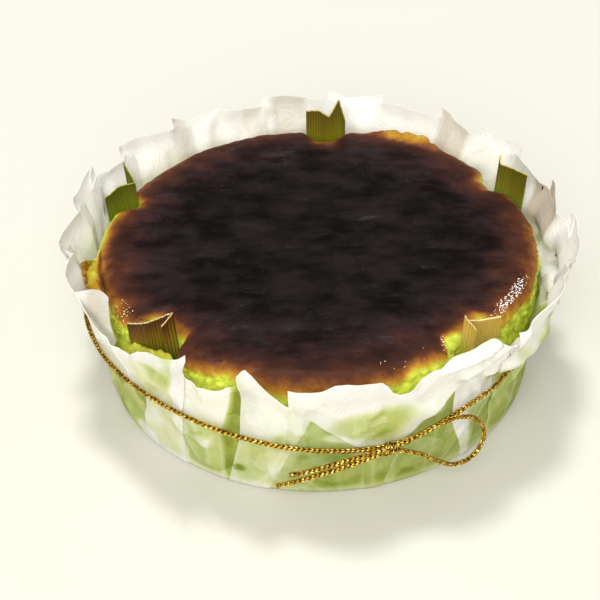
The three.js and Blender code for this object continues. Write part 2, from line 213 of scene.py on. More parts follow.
# Bow strands as (bearing, height, extra stand-off), from inside the knot outwards
BOW_LOOP = [
    (15, 26.4, 0.3), (17.2, 27.2, 0.4), (22, 29.6, 0.6), (26.5, 31.2, 0.6), (30.5, 31, 0.7),
    (34.4, 28, 0.8), (37.4, 22.6, 1), (38.6, 17, 1), (37.6, 11.8, 1), (34.4, 8.8, 0.8),
    (30, 9.8, 0.6), (25.4, 15, 0.4), (21.4, 20.4, 0.2), (17.2, 24, 0.2), (15, 25, 0.2),
]
TAIL_LONG = [
    (14, 24.8, 0), (11.8, 24, 0), (5.4, 21, 0.2), (0, 18.2, 0.4), (-5, 15.2, 0.5),
    (-9.8, 11.9, 0.5),
]
TAIL_SHORT = [
    (14, 26.4, 1), (11.8, 26.6, 1.2), (5.4, 24.4, 1.1), (0.6, 22, 1.1), (-3, 20, 1.1),
    (-6.8, 18, 1.1),
]


def ease(value, low, high):
    """A smooth step from 0 at low to 1 at high."""
    share = np.clip((value - low) / (high - low), 0, 1)
    return share * share * (3 - 2 * share)


def mix(first, second, share):
    return first + (second - first) * share


def turn(start, end):
    """Signed difference between two bearings."""
    return (end - start + 180) % 360 - 180


STEPS = (0.618034, 0.754878, 0.56984, 0.438579, 0.324718, 0.207107)


def spread(index, step=STEPS[0]):
    """A steady spread of values from -0.5 to 0.5, one for each whole number."""
    return (index * step) % 1 - 0.5


def spreads(index, count):
    """Several such values for one whole number, that don't go together."""
    return [spread(index, step) for step in STEPS[:count]]


def around(bearing, radius, height):
    """Points at bearings, radii and heights."""
    angle = np.radians(bearing)
    return np.stack(np.broadcast_arrays(radius * np.sin(angle), -radius * np.cos(angle), height), -1)


def out_of_round(bearing):
    angle = np.radians(bearing)
    return sum(depth * np.cos(waves * angle + phase) for waves, depth, phase in OUT_OF_ROUND)


def groove(bearing):
    """Depth of the dents that the leaves press into the cake, and the depth of pale skin there."""
    depth = np.zeros_like(bearing, dtype=float)
    pale = np.zeros_like(bearing, dtype=float)
    for place, deep, flat, end, paleness in GROOVES:
        dent = deep * (1 - ease(np.abs(turn(place, bearing)), flat, end))
        depth = np.maximum(depth, dent)
        pale = np.maximum(pale, paleness * dent)
    return depth, pale


def hump(place, bearing):
    """A smooth hump within reach of a place: 1 in its middle, 0 beyond."""
    away = np.abs(turn(place["bearing"], bearing))
    return 1 - ease(away, 0.3 * place["reach"], place["reach"])


def grain(points, size, seed=0.0):
    """Soft noise from -1 to 1 over points, with bumps of about that size."""
    shift = Vector((seed, 2 * seed, -seed))
    flat = points.reshape(-1, 3) / size
    values = [noise.noise(Vector(point) + shift) for point in flat]
    return np.array(values).reshape(points.shape[:-1])


def bumps(points, rise, size, seed):
    """Relief of that height from soft noise."""
    return rise * grain(points, size, seed)


def numbered(grid):
    """Point numbers of rows by columns of points."""
    return np.arange(grid.shape[0] * grid.shape[1]).reshape(grid.shape[:2])


def outward(grid, closed):
    """Unit normals of rows by columns of points, from the columns' run and the rows' rise."""
    if closed:
        across = np.roll(grid, -1, 1) - np.roll(grid, 1, 1)
    else:
        across = np.gradient(grid, axis=1)
    normal = np.cross(across, np.gradient(grid, axis=0))
    length = np.linalg.norm(normal, axis=-1, keepdims=True)
    return normal / np.maximum(length, 1e-9)


def quads(index, closed):
    """Faces between rows by columns of point numbers."""
    after = np.roll(index, -1, 1) if closed else index[:, 1:]
    before = index if closed else index[:, :-1]
    stack = np.stack([before[:-1], after[:-1], after[1:], before[1:]], -1)
    return stack.reshape(-1, 4).tolist()


def linked(name, data):
    """A new object in the scene."""
    made = bpy.data.objects.new(name, data)
    bpy.context.scene.collection.objects.link(made)
    return made


def piece(name, points, faces, material, values):
    """A smooth mesh object from points in millimetres, with a value at each point per attribute."""
    mesh = bpy.data.meshes.new(name)
    mesh.from_pydata((np.asarray(points).reshape(-1, 3) * MM).tolist(), [], faces)
    for label, numbers in values.items():
        layer = mesh.attributes.new(label, "FLOAT", "POINT")
        layer.data.foreach_set("value", np.asarray(numbers, dtype=np.float32).ravel())
    tidy = bmesh.new()
    tidy.from_mesh(mesh)
    bmesh.ops.remove_doubles(tidy, verts=tidy.verts, dist=1e-7)
    bmesh.ops.dissolve_degenerate(tidy, edges=tidy.edges, dist=1e-8)
    tidy.to_mesh(mesh)
    tidy.free()
    mesh.materials.append(material)
    mesh.shade_smooth()
    mesh.set_sharp_from_angle(angle=SHARP_FOLD)
    return linked(name, mesh)


def thick_sheet(middle, normal, thickness, closed):
    """Points and faces of a sheet of that thickness about rows by columns of points. Its last
    row gets an edge, and its sides and first row too where it isn't closed round."""
    near = numbered(middle)
    far = near + near.size
    points = np.concatenate([middle + normal * thickness / 2, middle - normal * thickness / 2])
    faces = quads(near, closed) + quads(far[::-1], closed)
    faces += quads(np.stack([near[-1], far[-1]]), closed)
    faces += quads(np.stack([far[0], near[0]]), closed)
    if not closed:
        faces += quads(np.stack([far[:, 0], near[:, 0]], 1), False)
        faces += quads(np.stack([near[:, -1], far[:, -1]], 1), False)
    return points, faces


def linear(code):
    """A linear colour from an sRGB hex code."""
    channels = [int(code[i:i + 2], 16) / 255 for i in (1, 3, 5)]
    low = [c / 12.92 if c <= 0.04045 else ((c + 0.055) / 1.055) ** 2.4 for c in channels]
    return (*low, 1)


def node(tree, kind, inputs=None, stops=None, **settings):
    """Add a node with its settings, its sockets' values or links, and its ramp's stops."""
    made = tree.nodes.new(kind)
    for key, value in settings.items():
        setattr(made, key, value)
    for key, value in (inputs or {}).items():
        if isinstance(value, bpy.types.NodeSocket):
            tree.links.new(value, made.inputs[key])
        else:
            made.inputs[key].default_value = value
    if stops:
        ramp = made.color_ramp
        while len(ramp.elements) < len(stops):
            ramp.elements.new(1)
        for element, (place, code) in zip(ramp.elements, stops):
            element.position = place
            element.color = linear(code)
    return made


def blank_material(name):
    made = bpy.data.materials.new(name)
    made.use_nodes = True
    made.node_tree.nodes.clear()
    return made, made.node_tree


# Gold metallised thread, knitted: bright yellow glints on each stitch
def gold_thread():
    made, tree = blank_material("gold metallised thread, knitted")
    place = node(tree, "ShaderNodeTexCoord").outputs["Object"]
    speck = node(tree, "ShaderNodeTexNoise", {"Vector": place, "Scale": 1 / (1.3 * MM)}).outputs["Fac"]
    tint = node(tree, "ShaderNodeValToRGB", {"Fac": speck},
                stops=[(0.32, "#7d5a0e"), (0.5, "#c2992a"), (0.68, "#ffe884")]).outputs["Color"]
    shader = node(tree, "ShaderNodeBsdfPrincipled",
                  {"Base Color": tint, "Metallic": 1.0, "Roughness": 0.25})
    node(tree, "ShaderNodeOutputMaterial", {"Surface": shader.outputs["BSDF"]})
    return made


# Brown cotton core, twisted: the dark dots between the gold stitches
def core_yarn():
    made, tree = blank_material("brown cotton core, twisted")
    place = node(tree, "ShaderNodeTexCoord").outputs["Object"]
    fuzz = node(tree, "ShaderNodeTexNoise", {"Vector": place, "Scale": 1 / (0.6 * MM)}).outputs["Fac"]
    tint = node(tree, "ShaderNodeValToRGB", {"Fac": fuzz},
                stops=[(0.35, "#140a02"), (0.7, "#382106")]).outputs["Color"]
    shader = node(tree, "ShaderNodeBsdfPrincipled", {"Base Color": tint, "Roughness": 0.85})
    node(tree, "ShaderNodeOutputMaterial", {"Surface": shader.outputs["BSDF"]})
    return made


# Greaseproof baking paper: white and letting light through where dry, yellow green where the
# moist cake has soaked it, the same tint standing for painted shade in a few places, softly
# mottled there, warm grey painted shade where it lies doubled, with faint long wrinkles
def baking_paper():
    made, tree = blank_material("greaseproof baking paper, damp from the cake")
    place = node(tree, "ShaderNodeTexCoord").outputs["Object"]
    # The damp value also holds painted shade in two places and painted highlight on folds and crests
    damp = node(tree, "ShaderNodeAttribute", attribute_name="damp").outputs["Fac"]
    patch = node(tree, "ShaderNodeTexNoise",
                 {"Vector": place, "Scale": 1 / (7 * MM), "Detail": 5.0})
    bent = node(tree, "ShaderNodeVectorMath", {
        0: patch.outputs["Color"], 1: (5 * MM,) * 3, 2: place,
    }, operation="MULTIPLY_ADD").outputs["Vector"]
    facet = node(tree, "ShaderNodeTexVoronoi", {"Vector": bent, "Scale": 1 / (13 * MM)}).outputs["Color"]
    both = node(tree, "ShaderNodeMath", {0: facet, 1: patch.outputs["Fac"]}, operation="ADD").outputs[0]
    uneven = node(tree, "ShaderNodeMapRange",
                  {"Value": both, "From Min": 0.6, "From Max": 1.4, "To Min": 0.66, "To Max": 1.12})
    soaked_and_painted_light = node(tree, "ShaderNodeMath", {0: damp, 1: uneven.outputs["Result"]},
                  operation="MULTIPLY").outputs[0]
    green = node(tree, "ShaderNodeValToRGB", {"Fac": soaked_and_painted_light}, stops=[
        (0, "#fffefd"), (0.15, "#fbfbf1"), (0.4, "#e4ecba"), (0.65, "#c9d784"), (0.88, "#a9bc4c"),
        (1, "#93a838"),
    ]).outputs["Color"]
    yellow = node(tree, "ShaderNodeValToRGB", {"Fac": soaked_and_painted_light}, stops=[
        (0, "#fffefd"), (0.15, "#fcfbf0"), (0.4, "#eeeeba"), (0.65, "#d8dc82"), (0.88, "#bcc44c"),
        (1, "#a6ae3a"),
    ]).outputs["Color"]
    region = node(tree, "ShaderNodeTexNoise", {"Vector": place, "Scale": 1 / (16 * MM)}).outputs["Fac"]
    share = node(tree, "ShaderNodeMapRange", {"Value": region, "From Min": 0.35, "From Max": 0.65})
    single = node(tree, "ShaderNodeMix", {
        0: share.outputs["Result"], 6: green, 7: yellow,
    }, data_type="RGBA").outputs[2]
    # Painted shade: a warm grey where the paper lies doubled, for the shaded insides of its flaps
    doubled = node(tree, "ShaderNodeAttribute", attribute_name="doubled").outputs["Fac"]
    tint = node(tree, "ShaderNodeMix", {
        0: doubled, 6: single, 7: linear("#d6cab3"),
    }, data_type="RGBA").outputs[2]
    fibre = node(tree, "ShaderNodeTexNoise",
                 {"Vector": place, "Scale": 1 / (2.2 * MM), "Detail": 5.0}).outputs["Fac"]
    fine = node(tree, "ShaderNodeBump",
                {"Strength": 0.2, "Distance": 0.25 * MM, "Height": fibre}).outputs["Normal"]
    fold = node(tree, "ShaderNodeTexNoise",
                {"Vector": place, "Scale": 1 / (11 * MM), "Detail": 2.0}).outputs["Fac"]
    ridge = node(tree, "ShaderNodeMath", {0: fold, 1: 0.05}, operation="PINGPONG").outputs[0]
    crinkle = node(tree, "ShaderNodeBump", {
        "Strength": 0.5, "Distance": 4 * MM, "Height": ridge, "Normal": fine,
    }).outputs["Normal"]
    front = node(tree, "ShaderNodeBsdfPrincipled",
                 {"Base Color": tint, "Roughness": 0.5, "IOR": 1.45, "Normal": crinkle})
    back = node(tree, "ShaderNodeBsdfTranslucent", {"Color": tint, "Normal": crinkle})
    sheet = node(tree, "ShaderNodeMixShader",
                 {"Fac": 0.5, 1: front.outputs["BSDF"], 2: back.outputs["BSDF"]})
    node(tree, "ShaderNodeOutputMaterial", {"Surface": sheet.outputs["Shader"]})
    return made


# Baked custard: burnt nearly black in the middle of the skin, toffee brown to amber at its
# ragged edge, yellow green on the pale side; a dull sheen with fine pits and wrinkles, and
# painted shade in the wrinkles' hollows with painted light on their ridges mid-skin
def baked_custard():
    made, tree = blank_material(CUSTARD)
    place = node(tree, "ShaderNodeTexCoord").outputs["Object"]
    baked = node(tree, "ShaderNodeAttribute", attribute_name="baked").outputs["Fac"]
    cloud = node(tree, "ShaderNodeTexNoise",
                 {"Vector": place, "Scale": 1 / (11 * MM), "Detail": 8.0, "Roughness": 0.66}).outputs["Fac"]
    lift = node(tree, "ShaderNodeMath", {0: cloud, 1: 0.5}, operation="SUBTRACT").outputs[0]
    deep = node(tree, "ShaderNodeMapRange",
                {"Value": baked, "From Max": 0.5, "To Min": 0.12, "To Max": 0.8}).outputs["Result"]
    edge = node(tree, "ShaderNodeMath", {0: lift, 1: deep, 2: baked}, operation="MULTIPLY_ADD").outputs[0]
    tint = node(tree, "ShaderNodeValToRGB", {"Fac": edge}, stops=[
        (0.0, "#c9d54e"), (0.035, "#b6b038"), (0.065, "#ad8729"), (0.1, "#986526"), (0.15, "#714220"),
        (0.21, "#4e2b1d"), (0.3, "#3b221b"), (0.42, "#2e1c19"), (0.6, "#221818"), (0.9, "#181313"),
    ]).outputs["Color"]
    fleck = node(tree, "ShaderNodeTexNoise",
                 {"Vector": place, "Scale": 1 / (2.4 * MM), "Detail": 4.0}).outputs["Fac"]
    shade = node(tree, "ShaderNodeMapRange", {
        "Value": fleck, "From Min": 0.35, "From Max": 0.65, "To Min": 0.78, "To Max": 1.18,
    }).outputs["Result"]
    pale = node(tree, "ShaderNodeMapRange", {
        "Value": baked, "From Min": 0.01, "From Max": 0.08, "To Min": 1.0, "To Max": 0.0,
    }).outputs["Result"]
    flecked = node(tree, "ShaderNodeMix", {0: pale, 6: tint, 7: shade},
                   data_type="RGBA", blend_type="MULTIPLY").outputs[2]
    crowd = node(tree, "ShaderNodeTexNoise", {"Vector": place, "Scale": 1 / (18 * MM)}).outputs["Fac"]
    strong = node(tree, "ShaderNodeMapRange", {
        "Value": crowd, "From Min": 0.38, "From Max": 0.6, "To Min": 0.25,
    }).outputs["Result"]
    smear = node(tree, "ShaderNodeMapping", {"Vector": place, "Scale": (0.65, 1, 1)}).outputs["Vector"]
    swell = node(tree, "ShaderNodeTexNoise",
                 {"Vector": smear, "Scale": 1 / (8 * MM), "Detail": 3.0, "Roughness": 0.48}).outputs["Fac"]
    # Painted shade and light: the skin's bump noise darkens its hollows and lightens its ridges
    relief_shade = node(tree, "ShaderNodeMapRange", {
        "Value": swell, "From Min": 0.36, "From Max": 0.64, "To Min": 0.45, "To Max": 1.6,
    }).outputs["Result"]
    inner = node(tree, "ShaderNodeMapRange",
                 {"Value": baked, "From Min": 0.15, "From Max": 0.5}).outputs["Result"]
    relief_shaded = node(tree, "ShaderNodeMix", {0: inner, 6: flecked, 7: relief_shade},
                   data_type="RGBA", blend_type="MULTIPLY").outputs[2]
    skin = node(tree, "ShaderNodeBump",
                {"Strength": strong, "Distance": 1.5 * MM, "Height": swell}).outputs["Normal"]
    cells = node(tree, "ShaderNodeTexVoronoi", {"Vector": place, "Scale": 1 / (2.6 * MM)}).outputs
    pit = node(tree, "ShaderNodeMapRange",
               {"Value": cells["Distance"], "From Min": 0.06, "From Max": 0.28}).outputs["Result"]
    chance = node(tree, "ShaderNodeMath", {0: cells["Color"], 1: crowd}, operation="ADD").outputs[0]
    few = node(tree, "ShaderNodeMath", {0: chance, 1: 1.1}, operation="LESS_THAN").outputs[0]
    pitted = node(tree, "ShaderNodeMath", {0: pit, 1: few}, operation="MAXIMUM").outputs[0]
    dimpled = node(tree, "ShaderNodeBump", {
        "Strength": 1.0, "Distance": 0.35 * MM, "Height": pitted, "Normal": skin,
    }).outputs["Normal"]
    rough = node(tree, "ShaderNodeMapRange", {
        "Value": baked, "From Min": 0.1, "From Max": 0.6, "To Min": 0.5, "To Max": 0.35,
    }).outputs["Result"]
    shader = node(tree, "ShaderNodeBsdfPrincipled", {
        "Base Color": relief_shaded, "Roughness": rough, "IOR": 1.4, "Specular IOR Level": 0.08,
        "Normal": dimpled,
    })
    node(tree, "ShaderNodeOutputMaterial", {"Surface": shader.outputs["BSDF"]})
    return made


# Caramel crystals: clear grains of sugar on the edge of the skin, golden where they are few and
# painted white where they lie thickly, as painted glints
def sugar_crystal_glints():
    made, tree = blank_material("caramel sugar, crystallised")
    glint_share = node(tree, "ShaderNodeAttribute", attribute_name="crystals").outputs["Fac"]
    # Painted glints: the grains turn white where they lie thickly
    tint = node(tree, "ShaderNodeValToRGB", {"Fac": glint_share},
                stops=[(0.05, "#c9993c"), (0.25, "#f0dca0"), (0.45, "#fffcfa")]).outputs["Color"]
    shader = node(tree, "ShaderNodeBsdfPrincipled",
                  {"Base Color": tint, "Roughness": 0.15, "IOR": 1.54})
    node(tree, "ShaderNodeOutputMaterial", {"Surface": shader.outputs["BSDF"]})
    return made


# Half-dried pandan leaf, ribbed: a thin dry line at the cut, then the blade from brown to
# green downwards, with a dark line between its ribs
def dried_leaf(name, cut, upper, middle, lower, dark=0.6):
    made, tree = blank_material(name)
    place = node(tree, "ShaderNodeTexCoord").outputs["Object"]
    below = node(tree, "ShaderNodeAttribute", attribute_name="below_cut").outputs["Fac"]
    ribs = node(tree, "ShaderNodeAttribute", attribute_name="rib").outputs["Fac"]
    streak_place = node(tree, "ShaderNodeMapping", {"Vector": place, "Scale": (1, 1, 0.08)})
    streak = node(tree, "ShaderNodeTexNoise", {
        "Vector": streak_place.outputs["Vector"], "Scale": 1 / (1.2 * MM), "Detail": 3.0,
    }).outputs["Fac"]
    lift = node(tree, "ShaderNodeMath", {0: streak, 1: 0.5}, operation="SUBTRACT").outputs[0]
    edge = node(tree, "ShaderNodeMath", {0: lift, 1: 0.3, 2: below}, operation="MULTIPLY_ADD").outputs[0]
    blade = node(tree, "ShaderNodeValToRGB", {"Fac": edge},
                 stops=[(0.05, upper), (0.35, middle), (0.7, lower)]).outputs["Color"]
    line = node(tree, "ShaderNodeMapRange",
                {"Value": ribs, "From Min": -1.0, "From Max": 0.2, "To Min": dark, "To Max": 1.0})
    lined = node(tree, "ShaderNodeMix", {
        0: 1.0, 6: blade, 7: line.outputs["Result"],
    }, data_type="RGBA", blend_type="MULTIPLY").outputs[2]
    end = node(tree, "ShaderNodeMapRange",
               {"Value": below, "From Min": 0.006, "From Max": 0.016, "To Min": 1.0, "To Max": 0.0})
    tint = node(tree, "ShaderNodeMix", {
        0: end.outputs["Result"], 6: lined, 7: linear(cut),
    }, data_type="RGBA").outputs[2]
    shader = node(tree, "ShaderNodeBsdfPrincipled",
                  {"Base Color": tint, "Roughness": 0.5, "IOR": 1.45, "Specular IOR Level": 0.2})
    node(tree, "ShaderNodeOutputMaterial", {"Surface": shader.outputs["BSDF"]})
    return made


def back_crest(number):
    """Bearing of a pleat's crest behind."""
    even = mix(BACK_PLEATS["first"], BACK_PLEATS["last"], number / (BACK_PLEATS["count"] - 1))
    return round((even + BACK_PLEATS["shift"] * spread(number)) / PAPER_STEP) * PAPER_STEP


def cad_folds():
    """Bearing, offset and rim height of the fold lines in front and behind, in order."""
    folds = list(FRONT_FOLDS)
    for i in range(BACK_PLEATS["count"]):
        crest = back_crest(i)
        valley = crest - PAPER_STEP if i % 3 == 0 else crest + PAPER_STEP
        for place, kind in ((crest, BACK_CREST), (valley, BACK_VALLEY)):
            folds.append((
                turn(0, place),
                kind["offset"] + kind["offset_range"] * spread(i + 5),
                kind["rim"] + kind["rim_range"] * spread(i + 9),
            ))
    return np.array(sorted(folds)).T


FOLD_AT, FOLD_OFFSET, FOLD_RIM = cad_folds()


def rim_height(bearing):
    return np.interp(turn(0, bearing), FOLD_AT, FOLD_RIM, period=360)


def wall_radius(bearing, height):
    """Inner radius of the solid paper wall at a bearing and height, without its inward fold."""
    share = height / rim_height(bearing)
    offset = np.interp(turn(0, bearing), FOLD_AT, FOLD_OFFSET, period=360)
    lean = mix(PAPER_FOOT_RADIUS, PAPER_WAIST_RADIUS, np.minimum(1, share / PAPER_WAIST_SHARE))
    flare = ease(share, PAPER_WAIST_SHARE, 1) * (PAPER_RIM_RADIUS - PAPER_WAIST_RADIUS)
    tip = PAPER_RIM_LEAN * np.cos(np.radians(bearing)) * share ** 4
    fold = (offset + SIDE_FLARE["out"] * hump(SIDE_FLARE, bearing)) * share ** FOLD_RISE
    return lean + flare - tip + fold + out_of_round(bearing) * ease(share, 0, 0.25)


def cord_height(bearing):
    aside = turn(KNOT_BEARING, bearing)
    away = aside / np.where(aside < 0, CORD_SAG_SPREAD["left"], CORD_SAG_SPREAD["right"])
    return CORD_LEVEL + CORD_TILT * np.sin(np.radians(bearing)) - CORD_SAG * np.exp(-away * away)


def cord_radius(bearing):
    """Radius of the wall cord, pulled taut over the crests of the paper."""
    reach = np.arange(-CORD_REACH, CORD_REACH + 0.1, PAPER_STEP)
    near = np.asarray(bearing, float)[..., None, None] + reach[:, None] + reach
    outer = wall_radius(near, cord_height(near) + CORD_DIAMETER / 2) + PAPER_SOLID_THICKNESS
    return outer.max(-1).mean(-1) + CORD_DIAMETER / 2 + CORD_CLEARANCE


def side_roll(bearing):
    """How fully the paper's roll at the right covers the cord."""
    place = turn(0, bearing)
    return (ease(place, SIDE_ROLL["from"], SIDE_ROLL["full"])
            * (1 - ease(place, SIDE_ROLL["until"], SIDE_ROLL["end"])))


def smooth_path(points, step):
    """A smooth line through points, with a point about every step."""
    points = np.asarray(points, float)
    ends = np.concatenate([[2 * points[0] - points[1]], points, [2 * points[-1] - points[-2]]])
    line = []
    for before, start, end, after in zip(ends, ends[1:], ends[2:], ends[3:]):
        count = max(2, round(np.linalg.norm(end - start) / step))
        for share in np.arange(count) / count:
            line.append(0.5 * (2 * start + (end - before) * share
                               + (2 * before - 5 * start + 4 * end - after) * share ** 2
                               + (3 * start - before - 3 * end + after) * share ** 3))
    return np.array([*line, points[-1]])


def geometry_tree(name, result, sockets):
    """A Geometry Nodes tree with named inputs and a result, and its inputs."""
    tree = bpy.data.node_groups.new(name, "GeometryNodeTree")
    for label, kind in sockets.items():
        tree.interface.new_socket(label, in_out="INPUT", socket_type="NodeSocket" + kind)
    tree.interface.new_socket(result, in_out="OUTPUT", socket_type="NodeSocketGeometry")
    return tree, node(tree, "NodeGroupInput").outputs


def dressed(tree, geometry, material):
    """Geometry with its instances made real and its material set."""
    real = node(tree, "GeometryNodeRealizeInstances", {"Geometry": geometry}).outputs["Geometry"]
    worn = node(tree, "GeometryNodeSetMaterial", {"Geometry": real, "Material": material})
    return worn.outputs["Geometry"]


def stitch_tree():
    """Geometry Nodes: knits a path of edges into a cord of gold stitches round a core."""
    tree, given = geometry_tree("knitted_cord", "Cord", {
        "Path": "Geometry", "Thickness": "Float", "Stitch Length": "Float", "Thread": "Material",
        "Core": "Material",
    })
    line = node(tree, "GeometryNodeMeshToCurve", {"Mesh": given["Path"]}).outputs["Curve"]
    even = node(tree, "GeometryNodeResampleCurve",
                {"Curve": line, "Length": given["Stitch Length"]}, mode="LENGTH").outputs["Curve"]
    spots = node(tree, "GeometryNodeCurveToPoints", {"Curve": even}, mode="EVALUATED").outputs
    bead = node(tree, "GeometryNodeMeshUVSphere", {"Segments": 6, "Rings": 4, "Radius": 0.5})
    leg = node(tree, "GeometryNodeTransform",
               {"Geometry": bead.outputs["Mesh"], "Scale": STITCH["leg"]}).outputs["Geometry"]
    legs = node(tree, "GeometryNodeJoinGeometry")
    for wale in range(STITCH["wales"]):
        for side in (-1, 1):
            angle = math.radians(360 / STITCH["wales"] * wale + STITCH["apart"] * side)
            tilted = node(tree, "GeometryNodeTransform", {
                "Geometry": leg,
                "Translation": (STITCH["out"] * math.cos(angle), STITCH["out"] * math.sin(angle), 0),
                "Rotation": (-side * math.radians(STITCH["tilt"]), 0, angle),
            })
            tree.links.new(tilted.outputs["Geometry"], legs.inputs["Geometry"])
    size = node(tree, "ShaderNodeCombineXYZ", {
        "X": given["Thickness"], "Y": given["Thickness"], "Z": given["Stitch Length"],
    }).outputs["Vector"]
    knit = node(tree, "GeometryNodeInstanceOnPoints", {
        "Points": spots["Points"], "Instance": legs.outputs["Geometry"],
        "Rotation": spots["Rotation"], "Scale": size,
    }).outputs["Instances"]
    half = node(tree, "ShaderNodeMath", {0: given["Thickness"], 1: CORE_SHARE}, operation="MULTIPLY")
    section = node(tree, "GeometryNodeCurvePrimitiveCircle",
                   {"Resolution": 8, "Radius": half.outputs[0]}).outputs["Curve"]
    tube = node(tree, "GeometryNodeCurveToMesh",
                {"Curve": line, "Profile Curve": section, "Fill Caps": True}).outputs["Mesh"]
    whole = node(tree, "GeometryNodeJoinGeometry")
    tree.links.new(dressed(tree, knit, given["Thread"]), whole.inputs["Geometry"])
    tree.links.new(dressed(tree, tube, given["Core"]), whole.inputs["Geometry"])
    soft = node(tree, "GeometryNodeSetShadeSmooth", {"Geometry": whole.outputs["Geometry"]})
    node(tree, "NodeGroupOutput", {"Cord": soft.outputs["Geometry"]})
    return tree


def rib_tree():
    """Geometry Nodes: presses even ribs into a leaf along its length."""
    tree, given = geometry_tree("leaf_ribs", "Ribbed", {
        "Leaf": "Geometry", "Spacing": "Float", "Depth": "Float", "Blade": "Material",
    })
    across = node(tree, "GeometryNodeInputNamedAttribute", {"Name": "across"}, data_type="FLOAT")
    count = node(tree, "ShaderNodeMath", {0: across.outputs["Attribute"], 1: given["Spacing"]},
                 operation="DIVIDE").outputs[0]
    angle = node(tree, "ShaderNodeMath", {0: count, 1: math.tau}, operation="MULTIPLY").outputs[0]
    wave = node(tree, "ShaderNodeMath", {0: angle}, operation="SINE").outputs[0]
    depth = node(tree, "ShaderNodeMath", {0: wave, 1: given["Depth"]}, operation="MULTIPLY").outputs[0]
    normal = node(tree, "GeometryNodeInputNormal").outputs["Normal"]
    offset = node(tree, "ShaderNodeVectorMath", {0: normal, "Scale": depth}, operation="SCALE")
    moved = node(tree, "GeometryNodeSetPosition",
                 {"Geometry": given["Leaf"], "Offset": offset.outputs["Vector"]}).outputs["Geometry"]
    node(tree, "NodeGroupOutput", {"Ribbed": dressed(tree, moved, given["Blade"])})
    return tree


def crystal_tree():
    """Geometry Nodes: scatters grains over a surface, as thickly as its crystals value says."""
    tree, given = geometry_tree("scattered_crystals", "Crystals", {
        "Surface": "Geometry", "Most": "Float", "Size": "Float", "Sugar": "Material",
    })
    share = node(tree, "GeometryNodeInputNamedAttribute", {"Name": "crystals"}, data_type="FLOAT")
    many = node(tree, "ShaderNodeMath", {0: share.outputs["Attribute"], 1: given["Most"]},
                operation="MULTIPLY").outputs[0]
    spots = node(tree, "GeometryNodeDistributePointsOnFaces",
                 {"Mesh": given["Surface"], "Density": many, "Seed": 7}).outputs
    bead = node(tree, "GeometryNodeMeshIcoSphere", {"Radius": given["Size"], "Subdivisions": 1})
    scale = node(tree, "FunctionNodeRandomValue", {
        "Min": (0.4, 0.4, 0.4), "Max": (1.3, 1.3, 0.9), "Seed": 3,
    }, data_type="FLOAT_VECTOR").outputs["Value"]
    grains = node(tree, "GeometryNodeInstanceOnPoints", {
        "Points": spots["Points"], "Instance": bead.outputs["Mesh"],
        "Rotation": spots["Rotation"], "Scale": scale,
    }).outputs["Instances"]
    node(tree, "NodeGroupOutput", {"Crystals": dressed(tree, grains, given["Sugar"])})
    return tree


def shaped_by(tree, made, **inputs):
    """Run a Geometry Nodes tree on an object and keep its result as the object's plain mesh."""
    step = made.modifiers.new(tree.name, "NODES")
    step.node_group = tree
    for socket in tree.interface.items_tree:
        key = socket.name.lower().replace(" ", "_")
        if socket.in_out == "INPUT" and key in inputs:
            step[socket.identifier] = inputs[key]
    graph = bpy.context.evaluated_depsgraph_get()
    mesh = bpy.data.meshes.new_from_object(
        made.evaluated_get(graph), preserve_all_data_layers=True, depsgraph=graph)
    made.modifiers.clear()
    made.data = mesh
    mesh.name = made.name
    return made


def joined(made, node_name=None):
    """Put a finished piece on the cake, in place of its solid if it has one."""
    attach(made, "root")
    if node_name:
        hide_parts(node_name)
    return made


def make_cords():
    """The cord round the wall, and its bow: a knot of three turns, one loop and two tails."""
    tree = stitch_tree()
    thread = gold_thread()
    core = core_yarn()

    def cord_piece(name, solid, path):
        mesh = bpy.data.meshes.new(name)
        edges = [(i, i + 1) for i in range(len(path) - 1)]
        mesh.from_pydata((path * MM).tolist(), edges, [])
        made = shaped_by(tree, linked(name, mesh), thickness=CORD_DIAMETER * MM,
                         stitch_length=CORD_STITCH * MM, thread=thread, core=core)
        return joined(made, solid)

    bearing = KNOT_BEARING + np.linspace(0, 360, RING_POINTS + 1)
    drawn = cord_radius(bearing) - SIDE_ROLL["in"] * side_roll(bearing)
    cord_piece("gold_cord_ring", "cord_ring", around(bearing, drawn, cord_height(bearing)))

    wall = float(cord_radius(KNOT_BEARING))
    for solid, route, far_end in (
        ("bow_loop", BOW_LOOP, "object"),
        ("bow_tail_long", TAIL_LONG, "bare"),
        ("bow_tail_short", TAIL_SHORT, "bare"),
    ):
        place, height, off = np.array(route).T
        path = smooth_path(around(place, wall + STRAND_STANDOFF + off, height), 1)
        made = cord_piece("gold_" + solid, solid, path)

    angle = np.linspace(KNOT_COIL["start"], KNOT_COIL["end"], KNOT_COIL["points"]) * math.tau
    place = KNOT_BEARING + np.linspace(-KNOT_COIL["along"], KNOT_COIL["along"], KNOT_COIL["points"])
    path = around(place, wall + KNOT_STANDOFF + KNOT_COIL["out"] * np.cos(angle),
                  cord_height(KNOT_BEARING) + KNOT_COIL["up"] * np.sin(angle))
    cord_piece("gold_bow_knot", "bow_knot", path)


def torn(points):
    """Relief of torn flesh: small plates at uneven levels with cracks between them."""
    relief = []
    for point in points.reshape(-1, 3):
        spot = Vector(point) / TORN["plate"]
        near, next_near = noise.voronoi(spot)[0][:2]
        level = noise.cell(spot * TORN["level_scale"])
        crack = 1 - ease(next_near - near, *TORN["crack_width"])
        relief.append(TORN["level"] * level - TORN["crack"] * crack)
    return np.array(relief).reshape(points.shape[:-1])


